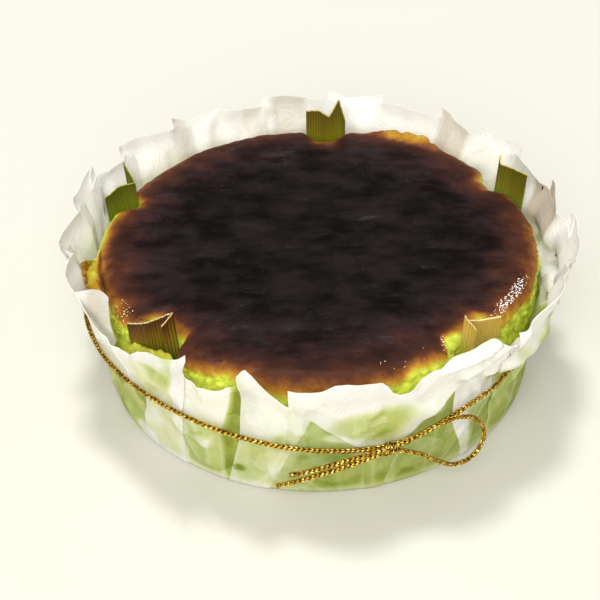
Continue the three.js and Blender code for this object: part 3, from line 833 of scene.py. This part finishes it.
def cake_profile():
    """The cake's section from the middle of its bottom to the middle of its top, and each
    point's way in millimetres along it from the upper edge of the side."""
    inner = CAKE_RADIUS - CAKE_SHOULDER
    top = CAKE_EDGE_HEIGHT + CAKE_SHOULDER
    foot = CAKE_FOOT_RADIUS - CAKE_FOOT_ROUND
    section = [(share * foot, CAKE_BOTTOM) for share in np.linspace(0, 1, 5)]
    for angle in np.radians(np.linspace(15, 90, 6)):
        section.append((foot + CAKE_FOOT_ROUND * math.sin(angle),
                        CAKE_BOTTOM + CAKE_FOOT_ROUND * (1 - math.cos(angle))))
    for height in [*np.linspace(4, 33, 13), *np.linspace(34, CAKE_EDGE_HEIGHT, 19)]:
        radius = np.interp(height, [CAKE_BOTTOM + CAKE_FOOT_ROUND, CAKE_BELLY_HEIGHT, CAKE_EDGE_HEIGHT],
                           [CAKE_FOOT_RADIUS, CAKE_BELLY_RADIUS, CAKE_RADIUS])
        section.append((radius, height))
    edge = len(section) - 1
    for angle in np.radians(np.linspace(5, 90, 18)):
        section.append((inner + CAKE_SHOULDER * math.cos(angle),
                        CAKE_EDGE_HEIGHT + CAKE_SHOULDER * math.sin(angle)))
    for share in np.linspace(0.985, 0, 50):
        section.append((share * inner, top + CAKE_DISH * (math.sin(math.pi * share) - 0.5 * (1 - share))))
    section = np.array(section)
    along = np.concatenate([[0], np.cumsum(np.linalg.norm(np.diff(section, axis=0), axis=1))])
    return section, along - along[edge]


def baked_share(grid, way, bearing, on_shelf):
    """How far each point is baked, first in millimetres from the edge of the side: less by the
    leaves and at the paler edges, golden on the risen crust, and by its own rule on the shelf."""
    near = 1 - ease(way, *WAYS["edge"])
    baked = way + bumps(grid, *BAKED_UNEVEN) + near * bumps(grid, *EDGE_UNEVEN)
    paler = 0
    for place, wide, shift in PALE_EDGES:
        paler = paler + shift * hump({"bearing": place, "reach": wide}, bearing)
    pale_dent = groove(bearing)[1]
    baked = baked - near * paler - PALE_DENT * pale_dent * (1 - ease(way, *WAYS["dent"]))
    golden = hump(CRUST_LIP, bearing) * (1 - ease(way, *WAYS["golden"]))
    baked = mix(baked, CRUST_LIP["baked"] + grain(grid, 2, 13), golden)
    shelf = np.interp(way, *np.array(SHELF_BAKED).T) + grain(grid, 3, 8)
    return np.clip(mix(baked, shelf, on_shelf), *BAKED_RANGE) / BAKED_WAY


def crystal_share(grid, way, bearing):
    """How thickly sugar has crystallised along the skin's edge, also painting white glints."""
    crystals = np.zeros(grid.shape[:2])
    clumps = ease(grain(grid, 1.3, 9), -0.5, 0.2)
    for place, wide, start, end, most in CRYSTALS:
        across = 1 - ease(np.abs(turn(place, bearing)), 0.4 * wide, wide)
        within = ease(way, start - CRYSTAL_BLUR, start) * (1 - ease(way, end, end + CRYSTAL_BLUR))
        crystals = np.maximum(crystals, most * across * within * clumps)
    return crystals


def make_cake():
    """The cake: dented by the leaves, with a shelf at the left, its crust risen at the back, a
    gently uneven skin and torn flesh along its pale side."""
    section, along = cake_profile()
    bearing = np.arange(CAKE_COLUMNS) * 360 / CAKE_COLUMNS - 180
    radius, height = section[:, :1], section[:, 1:]
    out = ease(radius, 0.3 * CAKE_RADIUS, CAKE_RADIUS)
    rim = ease(radius, CAKE_RADIUS - CAKE_SHOULDER - 1, CAKE_RADIUS - 0.4 * CAKE_SHOULDER)
    top = ease(height, CAKE_EDGE_HEIGHT, CAKE_EDGE_HEIGHT + CAKE_SHOULDER)
    lip = hump(CRUST_LIP, bearing) * rim * top
    wave = np.sin(CAKE_SWELL["waves"] * np.radians(bearing) + CAKE_SWELL["twist"] * radius)
    reach = radius + out * out_of_round(bearing) - groove(bearing)[0] * out ** 4
    reach = reach + CRUST_LIP["out"] * lip
    reach = reach + RIGHT_SWELL["out"] * hump(RIGHT_SWELL, bearing) * out ** 4
    level = height + CAKE_SWELL["depth"] * wave * top * out + CRUST_LIP["up"] * lip
    way = along[:, None]
    ways, shelf_radius, shelf_height = np.array(SHELF_SECTION).T
    on_shelf = hump(SHELF, bearing) * ((way > ways[0]) & (way < ways[-1]))
    reach = mix(reach, np.interp(way, ways, shelf_radius), on_shelf)
    level = mix(level, np.interp(way, ways, shelf_height), on_shelf)
    grid = around(bearing, reach, level)

    skin = ease(way, *WAYS["skin"])
    low = ease(height, CAKE_BOTTOM, CAKE_FOOT_TOP)
    relief = skin * sum(bumps(grid * (wide, 1, 1), rise, size, seed)
                        for rise, size, seed, wide in SKIN_RELIEF)
    relief += (1 - skin) * low * bumps(grid * (1, 1, 0.3), *SIDE_RELIEF)
    shoulder = np.exp(-((way - SHOULDER["way"]) / SHOULDER["spread"]) ** 2)
    relief += shoulder * bumps(grid, *SHOULDER_RELIEF)
    relief += lip * bumps(grid, *LIP_RELIEF)
    exposed = ease(way, *WAYS["torn"]) * (1 - ease(way, *WAYS["torn_end"]))
    relief += TORN_RELIEF * exposed * torn(grid)
    grid = grid + outward(grid, True) * relief[..., None]

    made = piece("baked_cake", grid, quads(numbered(grid), True), baked_custard(), {
        "baked": baked_share(grid, way, bearing, on_shelf),
        "crystals": crystal_share(grid, way, bearing),
    })
    joined(made, "cake")

    grains = shaped_by(crystal_tree(), linked("caramel_crystals", made.data.copy()),
                       most=CRYSTALS_MOST / MM ** 2, size=CRYSTAL_RADIUS * MM, sugar=sugar_crystal_glints())
    joined(grains)


# The paper in sheet order, as fold lines that may run back under the panel before them: the
# bearing at four heights, the depth in layers at the upper three of them, the rim's heights
# evenly along the panel after the line, and how damp that panel is below and above a height
FOLD_HEIGHTS = (0, 25, 45, 60)
FRONT_SHEET = [
    ((-75, -75, -75, -75), (0, 0, 0), (57.5,), (0.7, 0.08, 30)),
    ((-66.6, -66.5, -66.4, -66.3), (0, 0, 0), (56.4, 57.6, 58.8, 59.6, 59.4), (0.4, 0.1, 30)),
    ((-66.3, -64, -57, -60.2), (1, 7.8, 8.2), (57.6,), (0.4, 0.1, 30)),
    ((-65.6, -65.6, -65.6, -65.5), (0, 0, 0), (57.2, 53, 49.6, 48.6, 48.3, 48.4, 48.8),
     (0.8, 0.04, 29)),
    # Above the cord this panel's damp tint is partly painted shade of a panel turned from the light
    ((-51, -45.5, -45.8, -44), (0, 0, 0), (49.6, 53.6, 55.8, 56.8, 57.2), (0.4, 0.36, 30)),
    ((-37.4, -36.4, -34.8, -31.2), (0.3, 0.5, 0.6), (58.8,), (0.3, 0.05, 27)),
    ((-36.8, -34.2, -31.6, -28.6), (0, 0, 0), (62.4,), (0.3, 0.05, 27)),
    ((-36.6, -36.5, -35.5, -33.2), (1, 1, 1), (55,), (0.3, 0.05, 27)),
    ((-36.4, -34.1, -31.5, -28.5), (2, 2, 2), (47.4, 47.2, 48.7, 49.2, 50.4), (0.6, 0.08, 30)),
    ((-24.6, -24, -19.8, -17.8), (0.6, 0.8, 0.8), (53,), (1.05, 1.05, 27)),
    ((-24.3, -17, -14.2, -13), (2, 2, 2), (52,), (0.95, 0.85, 27)),
    ((-24.1, -19.4, -17.6, -17.2), (0, 0, 0), (60, 63, 60, 56, 51.6, 49.2), (0.5, 0.1, 28)),
    ((-15.5, -8.6, -7.8, -7.7), (0, 1, 1), (46.8,), (0.45, 0.2, 26)),
    ((-14, -6.8, -0.8, 2.5), (0, 2, 2), (44,), (0.5, 0.5, 26)),
    ((-13.8, -9, -5, -4), (1, 3, 3), (43,), (0.5, 0.5, 26)),
    ((-13.6, -6.7, -0.7, 2.6), (2, 4, 4), (43,), (0.85, 0.66, 24)),
    ((10, 10.3, 3.5, 4.5), (1.5, 4, 4), (44,), (0.9, 0.5, 26)),
    ((10.2, 8.6, -6.9, -7.4), (0, 0, 0), (
        53.6, 54, 54.9, 55.8, 58.9, 59.3, 58.3, 57.9, 57.6, 54.8, 51.2, 49.4, 52, 56.8, 60.2, 60.7,
        60.6, 61, 60.9, 59,
    ), (0.9, 0.05, 25)),
    ((14.2, 18.6, 31.6, 42), (0, 0, 0), (56,), (0.9, 0.3, 24)),
    ((14.4, 15.5, 26, 34), (1, 1, 1), (51,), (0.9, 0.3, 24)),
    ((14.6, 18.8, 31.7, 42), (2, 2, 2), (50,), (0.85, 0.76, 24)),
    ((38, 34.5, 35, 38), (2, 3.5, 3.5), (46,), (0.5, 0.3, 24)),
    ((38.2, 31.6, 30.7, 33), (0, 2.6, 2.6), (47, 50, 53), (0.3, 0.04, 16)),
    ((40, 36.5, 38, 41.5), (0, 1, 1), (55.6,), (0.75, 0.06, 28)),
    ((47, 46.5, 48, 50), (2, 2, 2), (49,), (0.5, 0.2, 28)),
    ((47.2, 44.6, 44.3, 45.6), (0, 0, 0), (56.5, 59.5, 60.5), (0.76, 0.06, 36)),
    ((56, 56, 56, 56), (0, 0, 0), (61, 61.2, 60.5, 59.5), (0.85, 0.08, 41)),
]
TUCK_GROWTH = (0, 0.35, 0.75, 1)
SLANT_GROWTH = (1, 0.6, 0.2, 0)
BACK_TUCK = {"slant": 5, "tuck": 5, "tuck_range": 2, "ahead": 0.6, "edge": 0.2}
# Rims behind, from that of the solid: along a flap, at the tuck under it and along the next panel
BACK_RIMS = {"flap": (0.8, -0.4, -1.2), "under": -5, "next": (-2, -1.2, -0.4)}
LAYER_GAPS = (0.25, 0.34, 0.55, 0.9)
DAMP_BLUR = 4
# Relief of the paper besides its creases: height, size of the bumps and seed, and how far any
# relief may go inwards
PAPER_RELIEF = [(0.5, 14, 1), (0.18, 5, 4)]
PAPER_INWARDS = 0.5
# Room for the paper beyond its plain wall: freely, behind the bow, and how near the cord holds it
PAPER_ROOM = {"free": 3.4, "bow": 0.5, "clear": 0.15, "held": 2.5}
BOW_REACH = (26, 32)
BOW_HEIGHT = (31, 36)
# Degrees between the paper's columns, in front and behind
COLUMN_STEP = {"front": 0.7, "behind": 1.1, "until": 62}
BASE_SHARES = (0, 0.25, 0.5, 0.75, 0.95)
# How much drier and paler the paper is at its foot, on the crests of creases and along its
# folds, where the paleness on crests and folds is also a painted highlight
DRIER_AND_HIGHLIT = {"foot": 0.35, "crest": 0.18, "fold": 0.35, "fold_columns": 1.1}
DAMP_RANGE = (0.02, 1.15)


def back_sheet():
    """Fold lines of the pleats behind: each a flap folded over its neighbour, most of them to
    one side, with tucks that grow towards the rim."""
    lines = []
    for i in range(BACK_PLEATS["count"]):
        crest = back_crest(i)
        over = -1 if i % 3 == 0 else 1
        slant = BACK_TUCK["slant"] * spread(i + 3)
        tuck = BACK_TUCK["tuck"] + BACK_TUCK["tuck_range"] * spread(i + 7)
        edge = [crest + BACK_TUCK["ahead"] * over + slant * share for share in SLANT_GROWTH]
        under = tuple(at - over * tuck * share for at, share in zip(edge, TUCK_GROWTH))
        rim = float(rim_height(crest))
        # Dampness below and above a height, on the flap and on the panel after it
        dry = (0.4 + 0.4 * spread(i + 4), 0.06, 28 + 14 * spread(i))
        wet = (0.8, 0.06, 30 + 20 * spread(i + 2))
        flap_rims, next_rims = [tuple(rim + up for up in BACK_RIMS[key]) for key in ("flap", "next")]
        under_rims = (rim + BACK_RIMS["under"],)
        flap = ((edge[0] - BACK_TUCK["edge"] * over, *edge[1:]), (0, 0, 0))
        if over > 0:
            leaving = (edge[0] + BACK_TUCK["edge"], *edge[1:])
            lines.append((*flap, flap_rims[:1], dry))
            lines.append((under, (1, 1, 1), under_rims, dry))
            lines.append((leaving, (2, 2, 2), next_rims, wet))
        else:
            lines.append((under, (2, 2, 2), under_rims, wet))
            lines.append((*flap, flap_rims, dry))
    return lines


# Creases pressed into the paper on purpose or by the cord: bearing and height of both ends, how
# far they stand out, and how far their flat sides reach
CREASES = [
    (-44, 50, -46, 41, 1.5, 9), (-46, 41, -44.5, 30, 1.3, 8), (-44.5, 30, -50, 6, 1.1, 6),
    (-33, 20, -29, 18, 0.5, 3), (-29, 18, -26, 24, 0.5, 3), (9.5, 19, 8.5, 4, -0.5, 3),
    (17, 15, 17.5, 4, 0.4, 3), (45, 27, 51, 12, 0.6, 4), (41, 27, 39, 10, 0.5, 4),
    (-12, 50, -9, 30, -0.8, 6), (4, 57, 8, 44, 0.6, 7), (14, 54, 17, 40, -0.6, 6),
]
# Rolled edges and the hollows beside them, in the same form
ROLLS = [
    (25, 56.5, 40, 58, 3, 1.7), (28, 53.2, 38, 55, -4, 1.2), (31.5, 48.8, 43, 53.8, 3.4, 1.9),
    (35, 44.5, 44, 49, -4.5, 1.3), (41.5, 41, 46.5, 56, 3, 2.2),
]
# Loose creases: how many, their middle level, and the range of their level, tilt, half length,
# height and sides' reach
LOOSE = {"count": 230, "level": 27, "levels": 50, "tilt": 90, "half": (4, 14), "rise": 1.25,
         "lift": 0.15, "reach": (2.5, 6)}
CREST = {"gain": 2.5, "wide": 1.3}
# Strips where the paper lies doubled, painted a warm grey as the shade on the flaps' inner
# sides: bearing, half width, height above which it does, and how much
DOUBLED_SHADE = [
    (140.5, 4.6, 42, 0.5), (100, 7, 42, 0.7), (-142.6, 2.8, 42, 0.25), (-163.6, 2.4, 42, 0.25),
    (-173.9, 4.3, 42, 0.4), (-60, 3.6, 47, 0.4),
]
DOUBLED_SHADE_BLUR = (0.8, 4)
# Damp and dry patches, one of them also painted shade: bearing, height, half width in degrees,
# half height, and the change
DAMP_AND_SHADE_PATCHES = [
    (11.5, 36, 13, 10, 0.62), (14, 29, 6, 4, 0.3), (-9.5, 27, 3, 5, 0.35), (-7, 30, 5, 5, 0.25),
    (-20.5, 10.5, 2.4, 2.6, 0.5), (-50, 6, 5.5, 6, -0.6), (-44, 20, 3.5, 8, -0.25),
    (42.5, 37, 2, 3.5, 0.5), (-29, 20, 3.5, 4, -0.35), (-15, 20, 3, 9, 0.2), (3, 30, 4, 3, -0.4),
    # (-39, 44): a damp patch that is partly painted shade of a panel turned from the light
    (36, 18, 2.5, 7, -0.3), (-42, 55, 10, 8, -0.3), (14, 10, 24, 10, 0.1), (-39, 44, 4, 7, 0.35),
    (51, 41, 4, 4, 0.2),
]
# Such patches behind: how many, the ranges of their sizes, and the change, damp and dry in turn
BACK_PATCHES = {"count": 30, "level": (4, 42), "wide": (5, 12), "tall": (9, 18), "change": 0.42}


def back_patches():
    """Damp and dry patches on the paper behind, as uneven as those in front."""
    patches = []
    ranges = [(BACK_PLEATS["first"], BACK_PLEATS["last"]),
              *(BACK_PATCHES[key] for key in ("level", "wide", "tall"))]
    for i in range(BACK_PATCHES["count"]):
        values = [mix(*ends, value + 0.5) for ends, value in zip(ranges, spreads(i, len(ranges)))]
        patches.append((*values, BACK_PATCHES["change"] * (-1) ** i))
    return patches


def line_distance(bearing, height, b0, z0, b1, z1):
    """Distance in millimetres from a line on the wall."""
    scale = math.radians(1) * PAPER_WAIST_RADIUS
    run = np.array([(b1 - b0) * scale, z1 - z0])
    dx = turn(b0, bearing) * scale
    dz = height - z0
    held = np.clip((dx * run[0] + dz * run[1]) / (run @ run), 0, 1)
    return np.hypot(dx - held * run[0], dz - held * run[1])


def pressed(bearing, height):
    """Relief of the creases and rolls, and how near each point is to a raised crease's crest."""
    relief = np.zeros_like(bearing)
    crest = np.zeros_like(bearing)
    creases = list(CREASES)
    for i in range(LOOSE["count"]):
        at, level, lean, length, wide, rise = spreads(i, 6)
        place = 360 * at
        middle = LOOSE["level"] + LOOSE["levels"] * level
        tilt = math.radians(LOOSE["tilt"] * lean)
        half = mix(*LOOSE["half"], length + 0.5)
        aside = math.degrees(half * math.sin(tilt) / PAPER_WAIST_RADIUS)
        tall = half * math.cos(tilt)
        creases.append((place - aside, middle - tall, place + aside, middle + tall,
                        LOOSE["rise"] * (2 * rise + LOOSE["lift"]), mix(*LOOSE["reach"], wide + 0.5)))
    for *ends, rise, reach in creases:
        away = line_distance(bearing, height, *ends)
        relief += rise * np.maximum(0, 1 - away / reach)
        if rise > 0:
            near = np.maximum(0, 1 - away / CREST["wide"])
            crest = np.maximum(crest, min(1, CREST["gain"] * rise) * near)
    for *ends, rise, reach in ROLLS:
        relief += rise * np.exp(-(line_distance(bearing, height, *ends) / reach) ** 2)
    return relief, crest


def room_outwards(bearing, height):
    """How far the paper may stand out beyond its plain wall: up to the cord where that holds it,
    little behind the bow, and freely elsewhere."""
    level = cord_height(bearing)
    wall = wall_radius(bearing, level)
    to_cord = cord_radius(bearing) - CORD_DIAMETER / 2 - wall - PAPER_SOLID_THICKNESS
    held = np.exp(-((height - level) / PAPER_ROOM["held"]) ** 2)
    beside = 1 - ease(np.abs(turn(KNOT_BEARING, bearing)), *BOW_REACH)
    bow = beside * (1 - ease(height, *BOW_HEIGHT))
    free = mix(PAPER_ROOM["free"], PAPER_ROOM["bow"], bow)
    return mix(free, np.minimum(free, to_cord - PAPER_ROOM["clear"]), held)


def squared(wave):
    """A wave with fuller rounds, for a section between a round and a square."""
    return np.sign(wave) * np.abs(wave) ** 0.6


def make_ledge():
    """The lump of cake that baked outside the first leaf, between its foot and the paper."""
    share = np.linspace(0, 1, 40)
    bearing = mix(LEDGE["from"], LEDGE["to"], share)
    inner = np.interp(share, *np.array(LEDGE["inner"]).T)
    outer = wall_radius(bearing, LEDGE["bottom"]) - LEDGE["clear"]
    end = np.sqrt(np.maximum(1 - (2 * share - 1) ** 6, 1e-4))
    angle = np.linspace(0, math.tau, 28, endpoint=False)[:, None]
    half = (outer - inner) / 2
    tall = (np.interp(share, *np.array(LEDGE["top"]).T) - LEDGE["bottom"]) / 2
    radius = inner + half + half * end * squared(np.cos(angle))
    height = LEDGE["bottom"] + tall + tall * end * squared(np.sin(angle))
    rounds = around(bearing, radius, height)
    rounds[..., 2] += bumps(rounds, 0.8, 4, 2) + torn(rounds)
    rounds = np.swapaxes(rounds, 0, 1)
    index = numbered(rounds)
    faces = quads(index, True) + [index[0, ::-1].tolist(), index[-1].tolist()]
    baked = LEDGE["baked"] + bumps(rounds, 0.02, 3, 4)
    made = piece("flesh_ledge", rounds, faces, bpy.data.materials[CUSTARD], {"baked": baked})
    joined(made)


def make_crumbs(paper):
    """Two burnt crumbs that stick to the paper at the right."""
    points, faces = [], []
    for place, radius, height, size in CRUMBS:
        spot = Vector(around(place, radius, height)) * MM
        spot = np.array(paper.closest_point_on_mesh(spot)[1]) / MM
        bead = bmesh.new()
        bmesh.ops.create_icosphere(bead, subdivisions=2, radius=1)
        spots = np.array([vert.co for vert in bead.verts])
        spots = spots * (1 + bumps(spots, 0.35, 0.6, height))[:, None] * size
        faces += [[vert.index + len(points) for vert in face.verts] for face in bead.faces]
        points += (spots + spot).tolist()
        bead.free()
    made = piece("burnt_crumbs", points, faces, bpy.data.materials[CUSTARD],
                 {"baked": np.full(len(points), CRUMB_BAKED)})
    joined(made)


def sheet_columns():
    """Heights, bearings, layers and dampness of the sheet as rows by columns, and the numbers of
    the columns at its folds."""
    lines = FRONT_SHEET + back_sheet()
    lines.append((tuple(b + 360 for b in lines[0][0]), *lines[0][1:]))
    shares = np.linspace(0, 1, PAPER_ROWS)
    columns = []
    folds = []
    for here, after in zip(lines, lines[1:]):
        folds.append(len(columns))
        widest = max(abs(b - a) for a, b in zip(here[0], after[0]))
        rims = (*here[2], after[2][0])
        step = COLUMN_STEP["front" if here[0][3] < COLUMN_STEP["until"] else "behind"]
        count = max(2, math.ceil(widest / step))
        for share in np.arange(count) / count:
            rim = float(np.interp(share, np.linspace(0, 1, len(rims)), rims))
            height = rim * shares
            bearing = mix(np.interp(height, FOLD_HEIGHTS, here[0]),
                          np.interp(height, FOLD_HEIGHTS, after[0]), share)
            layer = mix(np.interp(height, FOLD_HEIGHTS[1:], here[1]),
                        np.interp(height, FOLD_HEIGHTS[1:], after[1]), share)
            low, high, split = here[3]
            damp = mix(low, high, ease(height, split - DAMP_BLUR, split + DAMP_BLUR))
            columns.append((height, bearing, layer, damp))
    return (*(np.array(part).T for part in zip(*columns)), folds)


def paper_damp_and_painted_light(damp, bearing, height, crest, folds):
    """The panels' dampness with a drier foot, crests and folds, these two paler also as painted
    highlight, and with patches, one of them also painted shade.
    """
    foot = 1 - ease(height, 2, 6)
    damp = damp - DRIER_AND_HIGHLIT["foot"] * foot - DRIER_AND_HIGHLIT["crest"] * crest * ease(damp, 0.1, 0.5)
    for place, level, wide, tall, change in DAMP_AND_SHADE_PATCHES + back_patches():
        away = np.hypot(turn(place, bearing) / wide, (height - level) / tall)
        damp = damp + change * (1 - ease(away, 0.4, 1))
    beside = np.abs(np.arange(damp.shape[1])[:, None] - np.array(folds)).min(1)
    creased = np.exp(-(beside / DRIER_AND_HIGHLIT["fold_columns"]) ** 2)
    return np.clip(damp * (1 - DRIER_AND_HIGHLIT["fold"] * creased), *DAMP_RANGE)


def doubled_shade_share(bearing, height):
    """How much painted shade each point gets where the paper lies doubled."""
    doubled = np.zeros_like(height)
    aside, up = DOUBLED_SHADE_BLUR
    for place, wide, level, most in DOUBLED_SHADE:
        across = 1 - ease(np.abs(turn(place, bearing)), wide - aside, wide + aside)
        doubled = np.maximum(doubled, most * across * ease(height, level - up, level + up))
    return doubled


def make_paper():
    """The baking paper: one sheet folded into pleats that lie over each other, standing from a
    flat base to a ragged rim."""
    height, bearing, layer, damp, folds = sheet_columns()
    radius = wall_radius(bearing, height) + PAPER_SOLID_THICKNESS - PAPER_THICKNESS / 2
    above = height - cord_height(bearing)
    bulge = SIDE_ROLL["out"] * np.exp(-((above - SIDE_ROLL["above"]) / SIDE_ROLL["tall"]) ** 2)
    waist = SIDE_ROLL["in"] * np.exp(-(above / 2) ** 2)
    radius += side_roll(bearing) * (bulge - waist)
    radius -= layer * np.interp(height, FOLD_HEIGHTS, LAYER_GAPS)
    bend = np.clip(1 - height / PAPER_FOOT_BEND, 0, 1)
    radius -= PAPER_FOOT_BEND * (1 - np.sqrt(1 - bend ** 2))
    spots = around(bearing, radius, height)
    free = ease(height, 1, 10)
    relief, crest = pressed(turn(0, bearing), height)
    relief += sum(bumps(spots, *kind) for kind in PAPER_RELIEF)
    by_shelf = hump({"bearing": SHELF["bearing"], "reach": 2 * SHELF["reach"]}, bearing)
    inwards = PAPER_INWARDS * (1 - by_shelf)
    radius = radius + free * np.clip(relief, -inwards, room_outwards(bearing, height))
    wall = around(bearing, radius, np.maximum(height, PAPER_THICKNESS / 2))

    base = [around(bearing[0], share * radius[0], PAPER_THICKNESS / 2) for share in BASE_SHARES]
    middle = np.concatenate([np.array(base), wall])
    normal = outward(middle, True)
    normal[:len(base)] = (0, 0, -1)
    points, faces = thick_sheet(middle, normal, PAPER_THICKNESS, True)
    values = {"damp": paper_damp_and_painted_light(damp, bearing, height, crest, folds),
              "doubled": doubled_shade_share(bearing, height)}
    for label, rows in values.items():
        rows = np.concatenate([np.repeat(rows[:1], len(base), 0), rows])
        values[label] = np.concatenate([rows, rows])
    made = piece("pleated_paper", points, faces, baking_paper(), values)
    return joined(made, "paper_case")


def leaf_section(fold, tops, number):
    """Points along a leaf's folded section, the way along it, and its ragged cut's heights."""
    fold = np.array(fold, float)
    line, cut = [], []
    for i, run in enumerate(np.linalg.norm(np.diff(fold, axis=0), axis=1)):
        count = math.ceil(run / LEAF_STEP)
        for share in np.arange(count) / count:
            line.append(mix(fold[i], fold[i + 1], share))
            cut.append(mix(tops[i], tops[i + 1], share))
    line = np.array([*line, fold[-1]])
    for _ in range(LEAF_SMOOTHING):
        line[1:-1] = (line[:-2] + line[1:-1] + line[2:]) / 3
    across = np.concatenate([[0], np.cumsum(np.linalg.norm(np.diff(line, axis=0), axis=1))])
    ragged = [noise.noise(Vector((a / RAGGED_CUT["size"], number * 5, 0))) for a in across]
    return line, across, np.array([*cut, tops[-1]]) + RAGGED_CUT["depth"] * np.array(ragged)


def make_leaves():
    """The folded leaf ends between cake and paper, ribbed along their length."""
    tree = rib_tree()
    blades = [
        dried_leaf("pandan leaf, dried brown", "#cdb684", "#4c2b06", "#74560c", "#848020", 0.4),
        dried_leaf("pandan leaf, dried golden", "#ecd898", "#be9b42", "#c4a64a", "#a8a838", 0.75),
        dried_leaf("pandan leaf, olive", "#c2b45c", "#655e13", "#716b17", "#7a8423"),
        dried_leaf("pandan leaf, dark olive", "#b8a852", "#645715", "#746515", "#7e7e19"),
        dried_leaf("pandan leaf, dark green", "#9c9a48", "#555a13", "#686e19", "#7e9022", 0.7),
    ]
    for number, ((place, deep, fold, tops), blade) in enumerate(zip(LEAVES, blades), 1):
        line, across, cut = leaf_section(fold, tops, number)
        height = mix(LEAF_FOOT_HEIGHT, cut, np.array(LEAF_ROWS)[:, None])
        hang = np.clip(-line[:, 1] / 2 - 0.8, 0, 1)
        above = height - CAKE_EDGE_HEIGHT
        inwards = line[:, 1] - LEAF_LEAN * np.where(above > 0, above, hang * above)
        radius = CAKE_RADIUS - deep + LEAF_INSET + out_of_round(place) - inwards
        along = np.broadcast_to(line[:, 0], radius.shape)
        angle = math.radians(place)
        middle = np.stack([
            along * math.cos(angle) + radius * math.sin(angle),
            along * math.sin(angle) - radius * math.cos(angle),
            height,
        ], -1)
        points, faces = thick_sheet(middle, outward(middle, False), LEAF_THICKNESS, False)
        values = {
            "across": np.broadcast_to(across, height.shape) * MM,
            "below_cut": (cut - height) / LEAF_SHADED,
            "rib": np.broadcast_to(np.sin(math.tau * across / RIB_SPACING), height.shape),
        }
        values = {label: np.concatenate([rows, rows]) for label, rows in values.items()}
        made = piece(f"pandan_leaf_{number}", points, faces, blade, values)
        shaped_by(tree, made, spacing=RIB_SPACING * MM, depth=RIB_DEPTH * MM, blade=blade)
        joined(made, f"leaf_{number}")


def place_camera():
    data = bpy.data.cameras.new("camera")
    data.sensor_width = VIEW_SENSOR
    data.lens = VIEW_LENS
    camera = linked("camera", data)
    lift = math.radians(VIEW_ELEVATION)
    back = Vector((0, -math.cos(lift), math.sin(lift)))
    tilt = Matrix.Rotation(math.radians(90) - lift, 4, "X")
    roll = Matrix.Rotation(math.radians(VIEW_ROLL), 4, "Z")
    place = (Vector(VIEW_AIM) + back * VIEW_DISTANCE) * MM
    camera.matrix_world = Matrix.Translation(place) @ tilt @ roll
    bpy.context.scene.camera = camera


def soft_light(name, place, size, power):
    """A square soft box that faces the cake."""
    data = bpy.data.lights.new(name, "AREA")
    data.size = size
    data.energy = power
    lamp = linked(name, data)
    lamp.location = place
    lamp.rotation_euler = (Vector(LIT_SPOT) - Vector(place)).to_track_quat("-Z", "Y").to_euler()


def light_studio():
    """A bright table: a broad light from in front, a small one high up behind that throws the
    shadow and shines through the paper, and a white room round it that is dimmer at the back,
    where the dark skin mirrors it."""
    scene = bpy.context.scene
    scene.view_settings.view_transform = "Standard"
    world = bpy.data.worlds.new("studio")
    scene.world = world
    world.use_nodes = True
    room = world.node_tree
    room.nodes["Background"].inputs["Color"].default_value = linear("#fffefc")
    direction = node(room, "ShaderNodeTexCoord").outputs["Generated"]
    backward = node(room, "ShaderNodeSeparateXYZ", {"Vector": direction}).outputs["Y"]
    start, end = ROOM_GLOW["way"]
    bright, dim = ROOM_GLOW["glow"]
    glow = node(room, "ShaderNodeMapRange", {
        "Value": backward, "From Min": start, "From Max": end, "To Min": bright, "To Max": dim,
    }).outputs["Result"]
    room.links.new(glow, room.nodes["Background"].inputs["Strength"])
    for light in LIGHTS:
        soft_light(*light)

    bpy.ops.mesh.primitive_plane_add(size=FLOOR_SIZE)
    floor = bpy.context.object
    floor.name = "floor"
    paint, tree = blank_material("pale matt floor")
    matt = node(tree, "ShaderNodeBsdfPrincipled",
                {"Base Color": linear("#d5d3c8"), "Roughness": 0.9, "Specular IOR Level": 0.0})
    node(tree, "ShaderNodeOutputMaterial", {"Surface": matt.outputs["BSDF"]})
    floor.data.materials.append(paint)


place_camera()
make_cords()
make_cake()
make_ledge()
make_crumbs(make_paper())
make_leaves()
light_studio()
